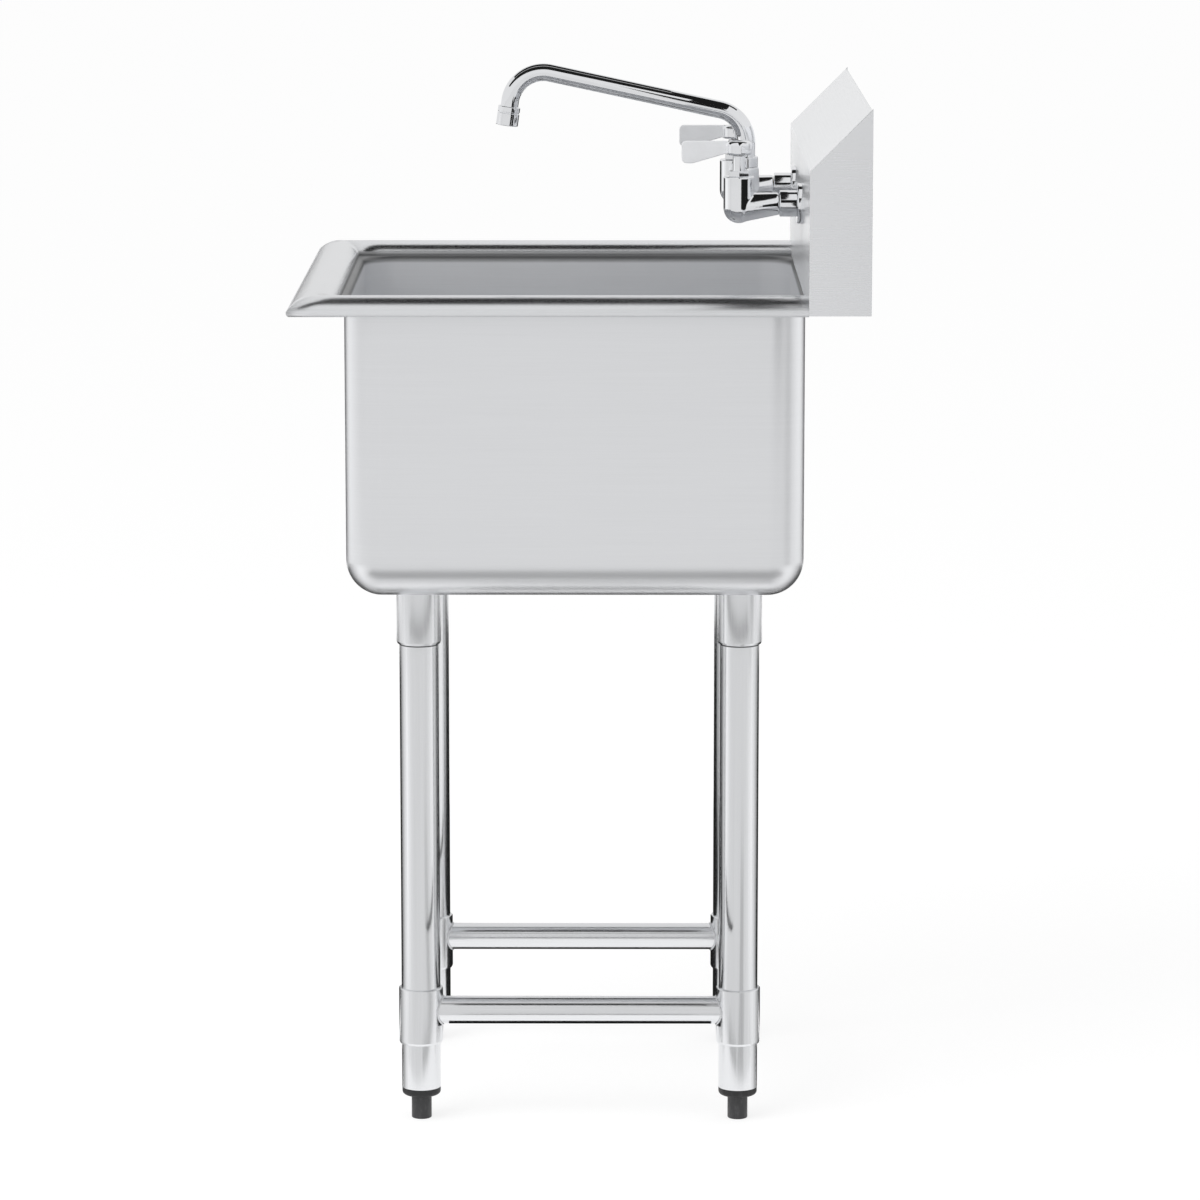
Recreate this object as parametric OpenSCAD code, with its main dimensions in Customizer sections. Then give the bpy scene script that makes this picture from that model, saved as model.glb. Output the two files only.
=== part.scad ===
// Free-standing one-bowl utility sink with a backsplash faucet.
// Millimetres. The origin is on the floor under the middle of the outline.
// X points to the right of someone who stands at the front, Y to the back, Z up.

/* [Overall] */
// Width across the two side rims
overall_w = 600; // [560:1:680]
// Depth from the front lip to the back of the backsplash
overall_d = 596; // [560:1:680]
// Floor to the crest of the rim
rim_h = 896; // [840:1:960]

/* [Sheet metal] */
// Thickness of the bowl, rim and backsplash sheet
sheet_t = 1.2; // [0.9:0.1:2]

/* [Rim] */
// Radius of the rolled bead on the outer side of its crest
bead_r = 38; // [32:0.5:44]
// Radius of the bead on the bowl side of its crest
bead_inner_r = 19; // [17:0.5:26]
// Crest down to the lower edge of the lip
lip_drop = 19.4; // [15:0.2:22]
// Radius over which the lip turns under
lip_round = 4; // [3:0.5:5]
// Crest down to the flat ledge round the bowl
ledge_drop = 14.4; // [10:0.2:17]
// Least ledge on the rim side of the weld
ledge_rim_w = 1.2; // [1:0.1:8]
// Ledge on the bowl side of the weld
ledge_bowl_w = 1.2; // [1:0.1:8]
// Turned-in hem under the lip
hem_w = 9; // [5:0.5:14]

/* [Bowl] */
// Ledge down to the flat of the bowl's floor
bowl_depth = 305.4; // [250:0.2:330]
// Outside radius of the upright corners and of the floor's edge
bowl_r = 38; // [30:1:60]
// Radius over which the wall turns into the ledge
edge_r = 5.5; // [4:0.5:9]
// Radius of the dished part of the floor
dish_r = 150; // [110:1:170]
// Fall of the dished floor to the drain
dish_drop = 3.5; // [1:0.5:6]
// Gap behind the bowl that the rear edge closes
bowl_back_gap = 0.6; // [0.5:0.1:3]

/* [Backsplash] */
// Depth of the backsplash from front to back
splash_depth = 63.7; // [52:0.1:80]
// Crest of the rim up to the top edge of the backsplash
splash_rise = 192.6; // [180:0.2:260]
// Crest of the rim down to the bottom edge of the backsplash
splash_drop = 18; // [16:0.5:40]
// Angle of the sloping top, from level
splash_slope = 45; // [35:1:50]
// Height of the flange behind the top edge
splash_flange_h = 40; // [20:1:60]
// Width of the flange behind each end panel
end_flange_w = 18; // [10:1:30]

/* [Legs] */
// Outside diameter of the leg tube
leg_od = 41.3; // [38:0.1:45]
// Wall of the leg tube
leg_wall = 1.2; // [1:0.1:2]
// Side lip in to the axes of the legs on that side
leg_inset_x = 133.3; // [131:0.1:150]
// Front lip back to the axes of the front legs
leg_inset_front = 128.4; // [120:0.1:140]
// Back of the backsplash forward to the axes of the rear legs
leg_inset_rear = 129.6; // [124:0.1:145]
// Floor to the lower end of the leg tube
leg_floor_gap = 34; // [30:1:45]
// Wall of the welded leg socket
socket_wall = 2.75; // [2:0.05:4]
// Length of the leg socket
socket_len = 56.4; // [45:0.2:80]
// Radius of the plate that joins a socket to the bowl
plate_r = 29; // [27:0.5:33]
// Thickness of that plate
plate_t = 2.5; // [1.5:0.5:4]

/* [Rails] */
// Wall of the rail collar
collar_wall = 2.65; // [2:0.05:4]
// Height of the rail collar
collar_h = 60.5; // [50:0.5:80]
// Floor to the lower end of the rail collar
collar_z = 83; // [70:1:220]
// Collar's lower end up to the rail's axis
rail_rise = 35; // [22:0.5:38]
// Outside diameter of the rails
rail_od = 29.5; // [25:0.5:34]
// Wall of the rails
rail_wall = 1.2; // [1:0.1:2]

/* [Feet] */
// Height of the tube plug below the tube's end
plug_h = 8.2; // [6:0.2:10]
// Rounding of the plug's lower edge
plug_round = 5; // [3:0.5:7]
// Length of the plug inside the tube
plug_len = 30; // [26:1:45]
// Radius of the foot
foot_r = 10.7; // [8.5:0.1:14]
// Diameter of the foot's threaded stem
foot_stem_d = 10; // [8:0.5:12]
// Length of the foot's threaded stem
foot_stem_len = 36; // [32:1:60]

/* [Drain] */
// Radius of the hole in the bowl's floor
drain_hole_r = 45; // [42:0.5:48]
// Radius of the recess that the drain flange sits in
seat_r = 58; // [55:0.5:64]
// Depth of that recess
seat_drop = 4; // [3:0.2:6]
// Radius of the drain flange
drain_flange_r = 56; // [53:0.5:58]
// Wall of the drain body
drain_wall = 1.6; // [1.2:0.1:2.4]
// Radius of the threaded drain outlet
outlet_r = 24; // [20:0.5:28]
// Length of the threaded drain outlet
outlet_len = 6.5; // [6:0.5:20]

/* [Faucet body] */
// Distance between the hot and cold inlets
inlet_span = 203.2; // [190:0.2:230]
// Crest of the rim up to the inlets' axis
inlet_rise = 77.8; // [70:0.2:95]
// Backsplash face to the valves' axis
valve_reach = 67.4; // [58:0.2:90]
// Backsplash face to the spout's axis
post_reach = 57.3; // [48:0.1:80]
// Outside radius of the valve cups
cup_r = 16.2; // [15:0.1:19]
// Inlet axis up to the top of the valve cups
cup_rise = 28.8; // [25:0.2:36]
// Inlet axis down to the middle of the cups' round ends
cup_drop = 4.6; // [2:0.1:8]
// Radius of the bridge between the valves
bridge_r = 10.5; // [9:0.1:12]
// Radius of the inlet arms where they meet the nuts
arm_r = 11.5; // [9.5:0.1:13]
// Radius of the spout post at its foot
post_r = 14.7; // [14:0.1:18]
// Radius of the spout post at its top
post_top_r = 13.4; // [12.6:0.1:14.2]

/* [Inlets] */
// Radius of the wall flange
flange_r = 21.2; // [18:0.2:28]
// Thickness of the wall flange
flange_t = 6.2; // [4:0.2:9]
// Radius of the inlet nut
nut_r = 13.8; // [13:0.1:17]
// Length of the inlet nut
nut_len = 18.5; // [14:0.5:24]
// Radius of the shank inside the nuts
shank_r = 10.8; // [9.5:0.1:11.5]
// Radius of the threaded free end of the shank
shank_end_r = 10.4; // [9:0.1:10.6]
// Length of the free end behind its lock nut
shank_free_len = 40; // [30:1:45]

/* [Levers] */
// Radius of the bonnet column
bonnet_r = 6.5; // [5.5:0.1:8]
// Height of the bonnet, with its hexagon
bonnet_h = 21.4; // [18:0.2:26]
// Radius of the lever's hub
hub_r = 13.6; // [12:0.1:16]
// Height of the lever's hub
hub_h = 15.2; // [13:0.2:20]
// Valve axis to the tip of the blade
lever_len = 60.2; // [50:0.2:90]
// Thickness of the blade
blade_t = 5; // [4:0.5:8]
// Height of the blade where it leaves the hub
blade_root_h = 13.2; // [10:0.2:13.8]
// Height of the blade at its tip
blade_tip_h = 23.2; // [20:0.2:28]

/* [Spout] */
// Outside diameter of the spout tube
spout_od = 19; // [16:0.2:20]
// Wall of the spout tube
spout_wall = 1.2; // [1:0.1:1.6]
// Spout axis to the top of the nozzle, measured level
spout_reach = 252.3; // [180:0.1:310]
// Rise of the long run towards the front, in degrees
spout_slope = 12.1; // [4:0.1:20]
// Radius of both bends on the tube's axis
bend_r = 36; // [28:0.5:46]
// Straight riser between the spout nut and the first bend
riser_h = 14.4; // [9:0.2:60]
// Lean of the nozzle towards the front, in degrees
nozzle_lean = 8; // [0:1:15]
// Height of the spout nut
spout_nut_h = 11.6; // [9:0.2:16]
// Radius of the spout nut
spout_nut_r = 12.6; // [12:0.1:14]
// Radius of the aerator
aerator_r = 11.9; // [11:0.1:14]
// Length of the aerator
aerator_len = 20.4; // [16:0.2:26]

/* [Hidden] */
$fn = 96;

// Overrun of every cutting solid past what it cuts
over = 2;
// Radial clearance of a tube that slides into a socket, collar or tube
slip_gap = 0.1;
// Radial clearance of a turning or screwed shaft
run_gap = 0.08;
// Clearance between faces of pieces that move past each other
move_gap = 0.4;
// Clearance of a moving piece over the face that stops it
stop_gap = 0.3;
// Chamfer on turned edges
chamfer = 1;

// Rim, worked out from the bead
half_w = overall_w / 2;
half_d = overall_d / 2;
crest_z = rim_h;
ledge_z = crest_z - ledge_drop;
// Middles of the bead's curve and of the lip's curve lie on one line, where the two curves meet
lip_reach = bead_r - lip_round;
lip_rise = bead_r - lip_drop + lip_round;
bead_u = lip_round + sqrt(lip_reach * lip_reach - lip_rise * lip_rise);
lip_turn = asin(lip_rise / lip_reach);
// Angle by which the two curves overlap
lip_lap = 3;
bead_inner_run = sqrt(bead_inner_r * bead_inner_r
    - (bead_inner_r - ledge_drop) * (bead_inner_r - ledge_drop));
valley_u = bead_u + bead_inner_run;
edge_in_r = edge_r - sheet_t;
// The rim's width is rounded up to a whole number of these steps
rim_step = 0.1;
rim_w = rim_step * ceil((valley_u + ledge_rim_w + ledge_bowl_w + edge_in_r) / rim_step);
weld_u = rim_w - ledge_bowl_w - edge_in_r;

// Backsplash
splash_y = half_d - splash_depth;
splash_top_z = crest_z + splash_rise;
splash_fold_z = splash_top_z - splash_depth * tan(splash_slope);
splash_low_z = crest_z - splash_drop;

// Bowl
bowl_half_x = half_w - rim_w;
bowl_front_y = rim_w - half_d;
bowl_back_y = splash_y - bowl_back_gap;
bowl_mid_y = (bowl_front_y + bowl_back_y) / 2;
bowl_flat_x = 2 * (bowl_half_x - bowl_r);
bowl_flat_y = bowl_back_y - bowl_front_y - 2 * bowl_r;
bowl_z = ledge_z - bowl_depth - sheet_t;
wall_h = ledge_z - bowl_z - bowl_r - edge_r;
seat_z = bowl_z + sheet_t - dish_drop - seat_drop;

// Legs
leg_span_x = overall_w - 2 * leg_inset_x;
leg_span_y = overall_d - leg_inset_front - leg_inset_rear;
leg_mid_y = (leg_inset_front - leg_inset_rear) / 2;
leg_r = leg_od / 2;
sleeve_r = leg_r + slip_gap;
socket_r = sleeve_r + socket_wall;
collar_r = sleeve_r + collar_wall;
plate_z = bowl_z - plate_t;
socket_z = plate_z - socket_len;
rail_z = collar_z + rail_rise;
rail_r = rail_od / 2;
// Taper at the open end of sockets and collars
sleeve_taper = 2.5;

// Set screws that lock sockets and collars on the legs
set_screw_r = 3;
set_screw_proud = 0.8;
set_screw_key_r = 1.6;
set_screw_key_deep = 2.4;
// Height of the set screw above the open end of a socket, and of a collar
socket_screw_up = 16;
collar_screw_up = 12;

// Feet
plug_r = leg_r - leg_wall - slip_gap;
plug_flange_r = leg_r - slip_gap;
plug_z = leg_floor_gap - plug_h;
foot_stem_r = foot_stem_d / 2;
foot_top_z = plug_z - stop_gap;

// Drain pieces, from the recess down
drain_flange_t = 2;
drain_gasket_t = 2.5;
drain_washer_t = 0.8;
drain_nut_t = 7;
drain_neck_spare = 1;
drain_neck_gap = 0.8;
drain_nut_r = 52;
drain_taper_h = 4;
neck_r = drain_hole_r - drain_neck_gap;
neck_in_r = neck_r - drain_wall;
gasket_top_z = seat_z - sheet_t;
washer_top_z = gasket_top_z - drain_gasket_t;
drain_nut_top_z = washer_top_z - drain_washer_t;
neck_low_z = drain_nut_top_z - drain_nut_t - drain_neck_spare;
outlet_top_z = neck_low_z - drain_taper_h;
// Step in the neck that carries the basket
basket_step_w = 2;
basket_step_down = 3;
// Strainer basket
basket_t = 0.9;
basket_gap = 0.6;
basket_inset = 3;
basket_foot_gap = 1.2;
basket_hole_r = 2;
basket_rings = [[0.45, 8], [0.66, 12], [0.86, 16]];
basket_knob_r = 5;
basket_post_r = 2.5;
basket_knob_h = 3;
basket_rim_z = seat_z + drain_flange_t - basket_step_down + stop_gap;
basket_rim_r = neck_in_r - basket_gap;
basket_cup_r = neck_in_r - basket_step_w - basket_inset;
basket_low_z = neck_low_z + drain_wall + basket_foot_gap;
basket_knob_top_z = seat_z + seat_drop + dish_drop;

// Faucet
inlet_z = crest_z + inlet_rise;
valve_x = inlet_span / 2;
valve_y = splash_y - valve_reach;
post_y = splash_y - post_reach;
cup_z = inlet_z - cup_drop;
cup_top_z = inlet_z + cup_rise;
arm_end_y = splash_y - flange_t - nut_len;
arm_run = arm_end_y - valve_y;
arm_len = sqrt(arm_run * arm_run + cup_drop * cup_drop);
// Radius of an arm where it leaves its cup, less than the cup's
arm_root_less = 0.6;
bridge_rise = 18.3;
bridge_z = inlet_z + bridge_rise;
bridge_y = (valve_y + post_y) / 2;
post_top_rise = 0.5;
post_top_z = cup_top_z + post_top_rise;
post_base_rise = 1.5;
post_base_z = inlet_z + post_base_rise;
post_h = post_top_z - post_base_z;
// Waterways
inlet_bore_r = 6.5;
bridge_bore_r = 6;
chamber_r = 9;
// Gap under the spout tube at the bottom of its bore
spout_floor = 3;

// Spout
spout_r = spout_od / 2;
spout_bore_r = spout_r - spout_wall;
post_bore_r = spout_r + run_gap;
spout_low_z = post_base_z + 2 * spout_floor;
spout_ring_w = 1.5;
spout_ring_h = 3;
spout_ring_r = spout_r + spout_ring_w;
o_ring_r = 1.2;
o_ring_rise = 10;
o_ring_mid_r = spout_r + stop_gap + o_ring_r;
o_ring_z = post_base_z + o_ring_rise;
bend_z = post_top_z + spout_nut_h + riser_h;
spout_run = (spout_reach - bend_r * (1 + cos(nozzle_lean))) / cos(spout_slope);
// Length and height of the faint bead where a straight part of the spout meets a bent one
bend_bead_w = 1;
bend_bead_h = 0.02;
// Points of the spout, from the middle of the post's top
riser_top = bend_z - post_top_z;
run_start_y = bend_r * sin(spout_slope) - bend_r;
run_start_z = riser_top + bend_r * cos(spout_slope);
run_end_y = run_start_y - spout_run * cos(spout_slope);
run_end_z = run_start_z + spout_run * sin(spout_slope);
bend_2_y = run_end_y - bend_r * sin(spout_slope);
bend_2_z = run_end_z - bend_r * cos(spout_slope);
nozzle_y = bend_2_y - bend_r * cos(nozzle_lean);
nozzle_z = bend_2_z + bend_r * sin(nozzle_lean);
// Bare tube above the aerator, and tube inside it
nozzle_bare = 5.2;
nozzle_in = 9;
aerator_bore_r = 8.6;
screen_t = 2;
screen_up = 2.5;
screen_hole_r = 1.1;
screen_rings = [[0, 1], [0.38, 6], [0.74, 12]];

// Valves and levers
hex_h = 5.5;
hex_r = 12;
bonnet_skirt = 6;
stem_r = 3.5;
stem_disc_h = 4;
stem_low_gap = 3;
stem_in_hub = 10;
screw_r = 2;
screw_len = 7;
screw_head_r = 4;
screw_head_h = 2.2;
screw_sink = 2.4;
bonnet_top_z = cup_top_z + bonnet_h;
hub_z = bonnet_top_z + stop_gap;
hub_top_z = hub_z + hub_h;
skirt_z = cup_top_z - bonnet_skirt;
stem_top_z = hub_z + stem_in_hub;
stem_disc_z = skirt_z - move_gap - stem_disc_h;
// Rounding of the blade's upper corner
blade_top_r = 5;
blade_low_r = 9.6;

// Inlets
shank_start_y = arm_end_y + chamfer;
lock_nut_t = 6;
lock_nut_r = 19;
lock_nut_y = splash_y + sheet_t;
shank_step_y = lock_nut_y + lock_nut_t;
shank_end_y = shank_step_y + shank_free_len;
shank_bore_r = 7;
splash_hole_r = shank_r + move_gap;

function leg_x(sx) = sx * leg_span_x / 2;
function leg_y(sy) = sy * leg_span_y / 2 + leg_mid_y;

// A round ring section for sheet that turns, in one quadrant given by sx and sy
module quarter_ring(r_out, r_in, sx, sy) {
    intersection() {
        difference() {
            circle(r_out);
            circle(r_in);
        }
        translate([sx < 0 ? -r_out : 0, sy < 0 ? -r_out : 0]) square(r_out);
    }
}

// A turned sleeve with its lower edge, and when asked its upper edge, tapered
module sleeve(r_out, r_in, h, top_taper) {
    rotate_extrude() polygon([[r_in, 0], [r_out - chamfer, 0], [r_out, sleeve_taper],
        [r_out, h - top_taper], [r_out - top_taper, h], [r_in, h]]);
}

// Wall of the bowl from its floor to the ledge: x is the distance from a corner's axis
module wall_section(with_ledge) {
    translate([0, bowl_r]) quarter_ring(bowl_r, bowl_r - sheet_t, 1, -1);
    translate([bowl_r - sheet_t, bowl_r]) square([sheet_t, wall_h]);
    translate([bowl_r + edge_in_r, bowl_r + wall_h]) quarter_ring(edge_r, edge_in_r, -1, 1);
    if (with_ledge) {
        translate([bowl_r + edge_in_r, bowl_r + wall_h + edge_in_r]) square([ledge_bowl_w, sheet_t]);
    }
}

module bowl_side(turn, length) {
    rotate([0, 0, turn]) rotate([90, 0, 0]) linear_extrude(length, center = true) wall_section(true);
}

module bowl_corner(turn) {
    reach = bowl_r + edge_in_r + ledge_bowl_w;
    rotate([0, 0, turn]) {
        rotate_extrude(angle = 90) wall_section(false);
        translate([0, 0, ledge_z - bowl_z - sheet_t]) difference() {
            cube([reach, reach, sheet_t]);
            translate([0, 0, -over]) cylinder(h = sheet_t + 2 * over, r = bowl_r + edge_in_r);
        }
    }
}

// Dished middle of the floor with the recess and the hole for the drain
module bowl_floor() {
    difference() {
        translate([-bowl_flat_x / 2, -bowl_flat_y / 2, 0]) cube([bowl_flat_x, bowl_flat_y, sheet_t]);
        translate([0, 0, -over]) cylinder(h = sheet_t + 2 * over, r = dish_r);
    }
    low = sheet_t - dish_drop;
    rotate_extrude() polygon([[dish_r, sheet_t], [seat_r, low], [seat_r, low - seat_drop],
        [drain_hole_r, low - seat_drop], [drain_hole_r, low - seat_drop - sheet_t],
        [seat_r + sheet_t, low - seat_drop - sheet_t], [seat_r + sheet_t, low - sheet_t], [dish_r, 0]]);
}

// Drawn bowl with its narrow ledge
module basin() color("gainsboro") {
    ax = bowl_flat_x / 2;
    ay = bowl_flat_y / 2;
    intersection() {
        translate([0, bowl_mid_y, bowl_z]) {
            bowl_floor();
            translate([ax, 0, 0]) bowl_side(0, bowl_flat_y);
            translate([-ax, 0, 0]) bowl_side(180, bowl_flat_y);
            translate([0, ay, 0]) bowl_side(90, bowl_flat_x);
            translate([0, -ay, 0]) bowl_side(270, bowl_flat_x);
            translate([ax, ay, 0]) bowl_corner(0);
            translate([-ax, ay, 0]) bowl_corner(90);
            translate([-ax, -ay, 0]) bowl_corner(180);
            translate([ax, -ay, 0]) bowl_corner(270);
        }
        translate([-half_w, -half_d, 0]) cube([overall_w, half_d + splash_y, crest_z]);
    }
}

// Rolled rim: x runs in from the lip, y up from the crest
module rim_section() {
    far = 2 * bead_r;
    intersection() {
        translate([bead_u, -bead_r]) difference() {
            circle(bead_r);
            circle(bead_r - sheet_t);
        }
        translate([bead_u, -bead_r]) polygon([[0, 0], [0, far], [-far, far],
            [-far * cos(lip_turn), far * sin(lip_turn)]]);
    }
    intersection() {
        translate([lip_round, lip_round - lip_drop]) difference() {
            circle(lip_round);
            circle(lip_round - sheet_t);
        }
        translate([lip_round, lip_round - lip_drop]) polygon([[0, 0],
            [-far * cos(lip_turn + lip_lap), far * sin(lip_turn + lip_lap)], [-far, 0], [-far, -far], [0, -far]]);
    }
    intersection() {
        translate([bead_u, -bead_inner_r]) difference() {
            circle(bead_inner_r);
            circle(bead_inner_r - sheet_t);
        }
        translate([bead_u, -ledge_drop - sheet_t]) square([bead_inner_r + over, ledge_drop + sheet_t + over]);
    }
    translate([lip_round - over / 10, -lip_drop]) square([hem_w - lip_round, sheet_t]);
    translate([valley_u - sheet_t, -ledge_drop - sheet_t]) square([weld_u - valley_u + sheet_t, sheet_t]);
}

// Front rim, mitred at both ends
module rim_front() color("gainsboro") intersection() {
    translate([-half_w, -half_d, crest_z]) rotate([90, 0, 90]) linear_extrude(overall_w) rim_section();
    translate([0, 0, crest_z - bead_r]) linear_extrude(bead_r + over) polygon([[-half_w, -half_d],
        [half_w, -half_d], [half_w - weld_u, weld_u - half_d], [weld_u - half_w, weld_u - half_d]]);
}

// Side rim, mitred in front and square against the backsplash
module rim_side(sx) color("gainsboro") mirror([sx < 0 ? 1 : 0, 0, 0]) intersection() {
    translate([half_w, splash_y, crest_z]) mirror([1, 0, 0]) rotate([90, 0, 0])
        linear_extrude(splash_y + half_d) rim_section();
    translate([0, 0, crest_z - bead_r]) linear_extrude(bead_r + over) polygon([[half_w, -half_d],
        [half_w, splash_y], [half_w - weld_u, splash_y], [half_w - weld_u, weld_u - half_d]]);
}

// One folded sheet: front, sloping top and rear flange
module backsplash_panel() color("lightgray") {
    inner_w = overall_w - 2 * sheet_t;
    under = sheet_t / cos(splash_slope);
    fall = sheet_t * tan(splash_slope);
    difference() {
        translate([-inner_w / 2, 0, 0]) rotate([90, 0, 90]) linear_extrude(inner_w) polygon([
            [splash_y, splash_low_z], [splash_y, splash_fold_z], [half_d, splash_top_z],
            [half_d, splash_top_z - splash_flange_h], [half_d - sheet_t, splash_top_z - splash_flange_h],
            [half_d - sheet_t, splash_top_z - fall - under],
            [splash_y + sheet_t, splash_fold_z + fall - under], [splash_y + sheet_t, splash_low_z]]);
        for (sx = [-1, 1]) translate([sx * valve_x, splash_y - over, inlet_z])
            rotate([-90, 0, 0]) cylinder(h = sheet_t + 2 * over, r = splash_hole_r);
    }
}

// End panel with a flange along its rear edge
module backsplash_end(sx) color("silver") mirror([sx < 0 ? 1 : 0, 0, 0]) {
    translate([half_w - sheet_t, 0, 0]) rotate([90, 0, 90]) linear_extrude(sheet_t) polygon([
        [splash_y, splash_low_z], [half_d, splash_low_z], [half_d, splash_top_z], [splash_y, splash_fold_z]]);
    translate([half_w - sheet_t - end_flange_w, half_d - sheet_t, splash_low_z])
        cube([end_flange_w, sheet_t, splash_top_z - splash_flange_h - splash_low_z]);
}

// Plates welded under the bowl, one above each socket
module leg_plates() color("silver") for (sx = [-1, 1], sy = [-1, 1])
    translate([leg_x(sx), leg_y(sy), plate_z]) cylinder(h = plate_t, r = plate_r);

// Hole for a set screw through a sleeve, on the side that faces the middle of the sink
module set_screw_hole(sx, up) {
    translate([0, 0, up]) rotate([0, -sx * 90, 0]) cylinder(h = leg_od, r = set_screw_r + slip_gap / 2);
}

module leg_socket(sx, sy) color("silver") translate([leg_x(sx), leg_y(sy), socket_z]) difference() {
    sleeve(socket_r, sleeve_r, socket_len, 0);
    set_screw_hole(sx, socket_screw_up);
}

module leg(sx, sy) color("gainsboro") translate([leg_x(sx), leg_y(sy), leg_floor_gap]) difference() {
    cylinder(h = plate_z - leg_floor_gap, r = leg_r);
    translate([0, 0, -over]) cylinder(h = plate_z - leg_floor_gap + 2 * over, r = leg_r - leg_wall);
}

module rail_collar(sx, sy) color("silver") translate([leg_x(sx), leg_y(sy), collar_z]) difference() {
    sleeve(collar_r, sleeve_r, collar_h, chamfer);
    set_screw_hole(sx, collar_screw_up);
}

module rail_tube(length) {
    difference() {
        cylinder(h = length, r = rail_r);
        translate([0, 0, -over]) cylinder(h = length + 2 * over, r = rail_r - rail_wall);
    }
}

// What the end of a rail is coped to
module collar_cope(sx, sy) {
    translate([leg_x(sx), leg_y(sy), rail_z - rail_od]) cylinder(h = 2 * rail_od, r = collar_r);
}

// Rail from the front collar to the rear collar on one side
module side_rail(sx) color("gainsboro") difference() {
    translate([leg_x(sx), leg_y(-1), rail_z]) rotate([-90, 0, 0]) rail_tube(leg_span_y);
    collar_cope(sx, -1);
    collar_cope(sx, 1);
}

// Rail between the rear collars
module rear_rail() color("gainsboro") difference() {
    translate([leg_x(-1), leg_y(1), rail_z]) rotate([0, 90, 0]) rail_tube(leg_span_x);
    collar_cope(-1, 1);
    collar_cope(1, 1);
}

module set_screw(sx, r_out) {
    length = r_out - leg_r + set_screw_proud;
    rotate([0, -sx * 90, 0]) translate([0, 0, leg_r]) difference() {
        cylinder(h = length, r = set_screw_r);
        translate([0, 0, length - set_screw_key_deep])
            cylinder(h = set_screw_key_deep + over, r = set_screw_key_r, $fn = 6);
    }
}

module socket_set_screws() color("dimgray") for (sx = [-1, 1], sy = [-1, 1])
    translate([leg_x(sx), leg_y(sy), socket_z + socket_screw_up]) set_screw(sx, socket_r);

module collar_set_screws() color("dimgray") for (sx = [-1, 1], sy = [-1, 1])
    translate([leg_x(sx), leg_y(sy), collar_z + collar_screw_up]) set_screw(sx, collar_r);

// Tube plug with a rounded head and a threaded hole for the foot
module foot_plug(sx, sy) color("dimgray") translate([leg_x(sx), leg_y(sy), plug_z]) difference() {
    rotate_extrude() {
        square([plug_flange_r - plug_round, plug_h]);
        translate([plug_flange_r - plug_round, plug_round]) quarter_ring(plug_round, 0.01, 1, -1);
        translate([plug_flange_r - plug_round, plug_round]) square([plug_round, plug_h - plug_round]);
        translate([0, plug_h]) square([plug_r, plug_len]);
    }
    translate([0, 0, -over]) cylinder(h = plug_h + plug_len + 2 * over, r = foot_stem_r + run_gap);
}

// Screw-in foot
module foot(sx, sy) color("dimgray") translate([leg_x(sx), leg_y(sy), 0]) {
    rotate_extrude() polygon([[0, 0], [foot_r - chamfer, 0], [foot_r, chamfer], [foot_r, foot_top_z],
        [foot_stem_r, foot_top_z], [foot_stem_r, foot_top_z + foot_stem_len - chamfer],
        [foot_stem_r - chamfer, foot_top_z + foot_stem_len], [0, foot_top_z + foot_stem_len]]);
}

// Drain body: flange in the recess, threaded neck, floor and outlet
module drain_body() color("gainsboro") translate([0, bowl_mid_y, 0]) {
    step_z = seat_z + drain_flange_t - basket_step_down;
    outlet_low_z = outlet_top_z - outlet_len;
    rotate_extrude() polygon([[drain_flange_r, seat_z], [drain_flange_r - chamfer, seat_z + drain_flange_t],
        [neck_in_r, seat_z + drain_flange_t], [neck_in_r, step_z], [neck_in_r - basket_step_w, step_z],
        [neck_in_r - basket_step_w, neck_low_z + drain_wall],
        [outlet_r - drain_wall, outlet_top_z + drain_wall], [outlet_r - drain_wall, outlet_low_z],
        [outlet_r, outlet_low_z], [outlet_r, outlet_top_z], [neck_r, neck_low_z], [neck_r, seat_z]]);
}

module drain_ring(top_z, thickness, r_out) {
    translate([0, bowl_mid_y, top_z - thickness]) difference() {
        cylinder(h = thickness, r = r_out);
        translate([0, 0, -over]) cylinder(h = thickness + 2 * over, r = neck_r + slip_gap);
    }
}

module drain_gasket() color("dimgray") drain_ring(gasket_top_z, drain_gasket_t, drain_flange_r);

module drain_washer() color("tan") drain_ring(washer_top_z, drain_washer_t, drain_nut_r);

// Lock nut with grip notches round its edge
module drain_lock_nut() color("silver") difference() {
    notch_r = drain_nut_t / 2;
    drain_ring(drain_nut_top_z, drain_nut_t, drain_nut_r);
    for (i = [0:5]) translate([0, bowl_mid_y, drain_nut_top_z - drain_nut_t - over]) rotate([0, 0, 60 * i])
        translate([drain_nut_r, 0, 0]) cylinder(h = drain_nut_t + 2 * over, r = notch_r);
}

// Lift-out strainer: rim, perforated cup and centre knob
module strainer_basket() color("silver") translate([0, bowl_mid_y, 0]) {
    difference() {
        rotate_extrude() polygon([[0, basket_low_z], [basket_cup_r, basket_low_z], [basket_cup_r, basket_rim_z],
            [basket_rim_r, basket_rim_z], [basket_rim_r, basket_rim_z + basket_t],
            [basket_cup_r - basket_t, basket_rim_z + basket_t],
            [basket_cup_r - basket_t, basket_low_z + basket_t], [0, basket_low_z + basket_t]]);
        for (ring = basket_rings, i = [1:ring[1]]) rotate([0, 0, 360 * i / ring[1]])
            translate([ring[0] * basket_cup_r, 0, basket_low_z - over])
                cylinder(h = basket_t + 2 * over, r = basket_hole_r);
    }
    translate([0, 0, basket_low_z]) cylinder(h = basket_knob_top_z - basket_low_z, r = basket_post_r);
    translate([0, 0, basket_knob_top_z - basket_knob_h]) cylinder(h = basket_knob_h, r = basket_knob_r);
}

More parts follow.
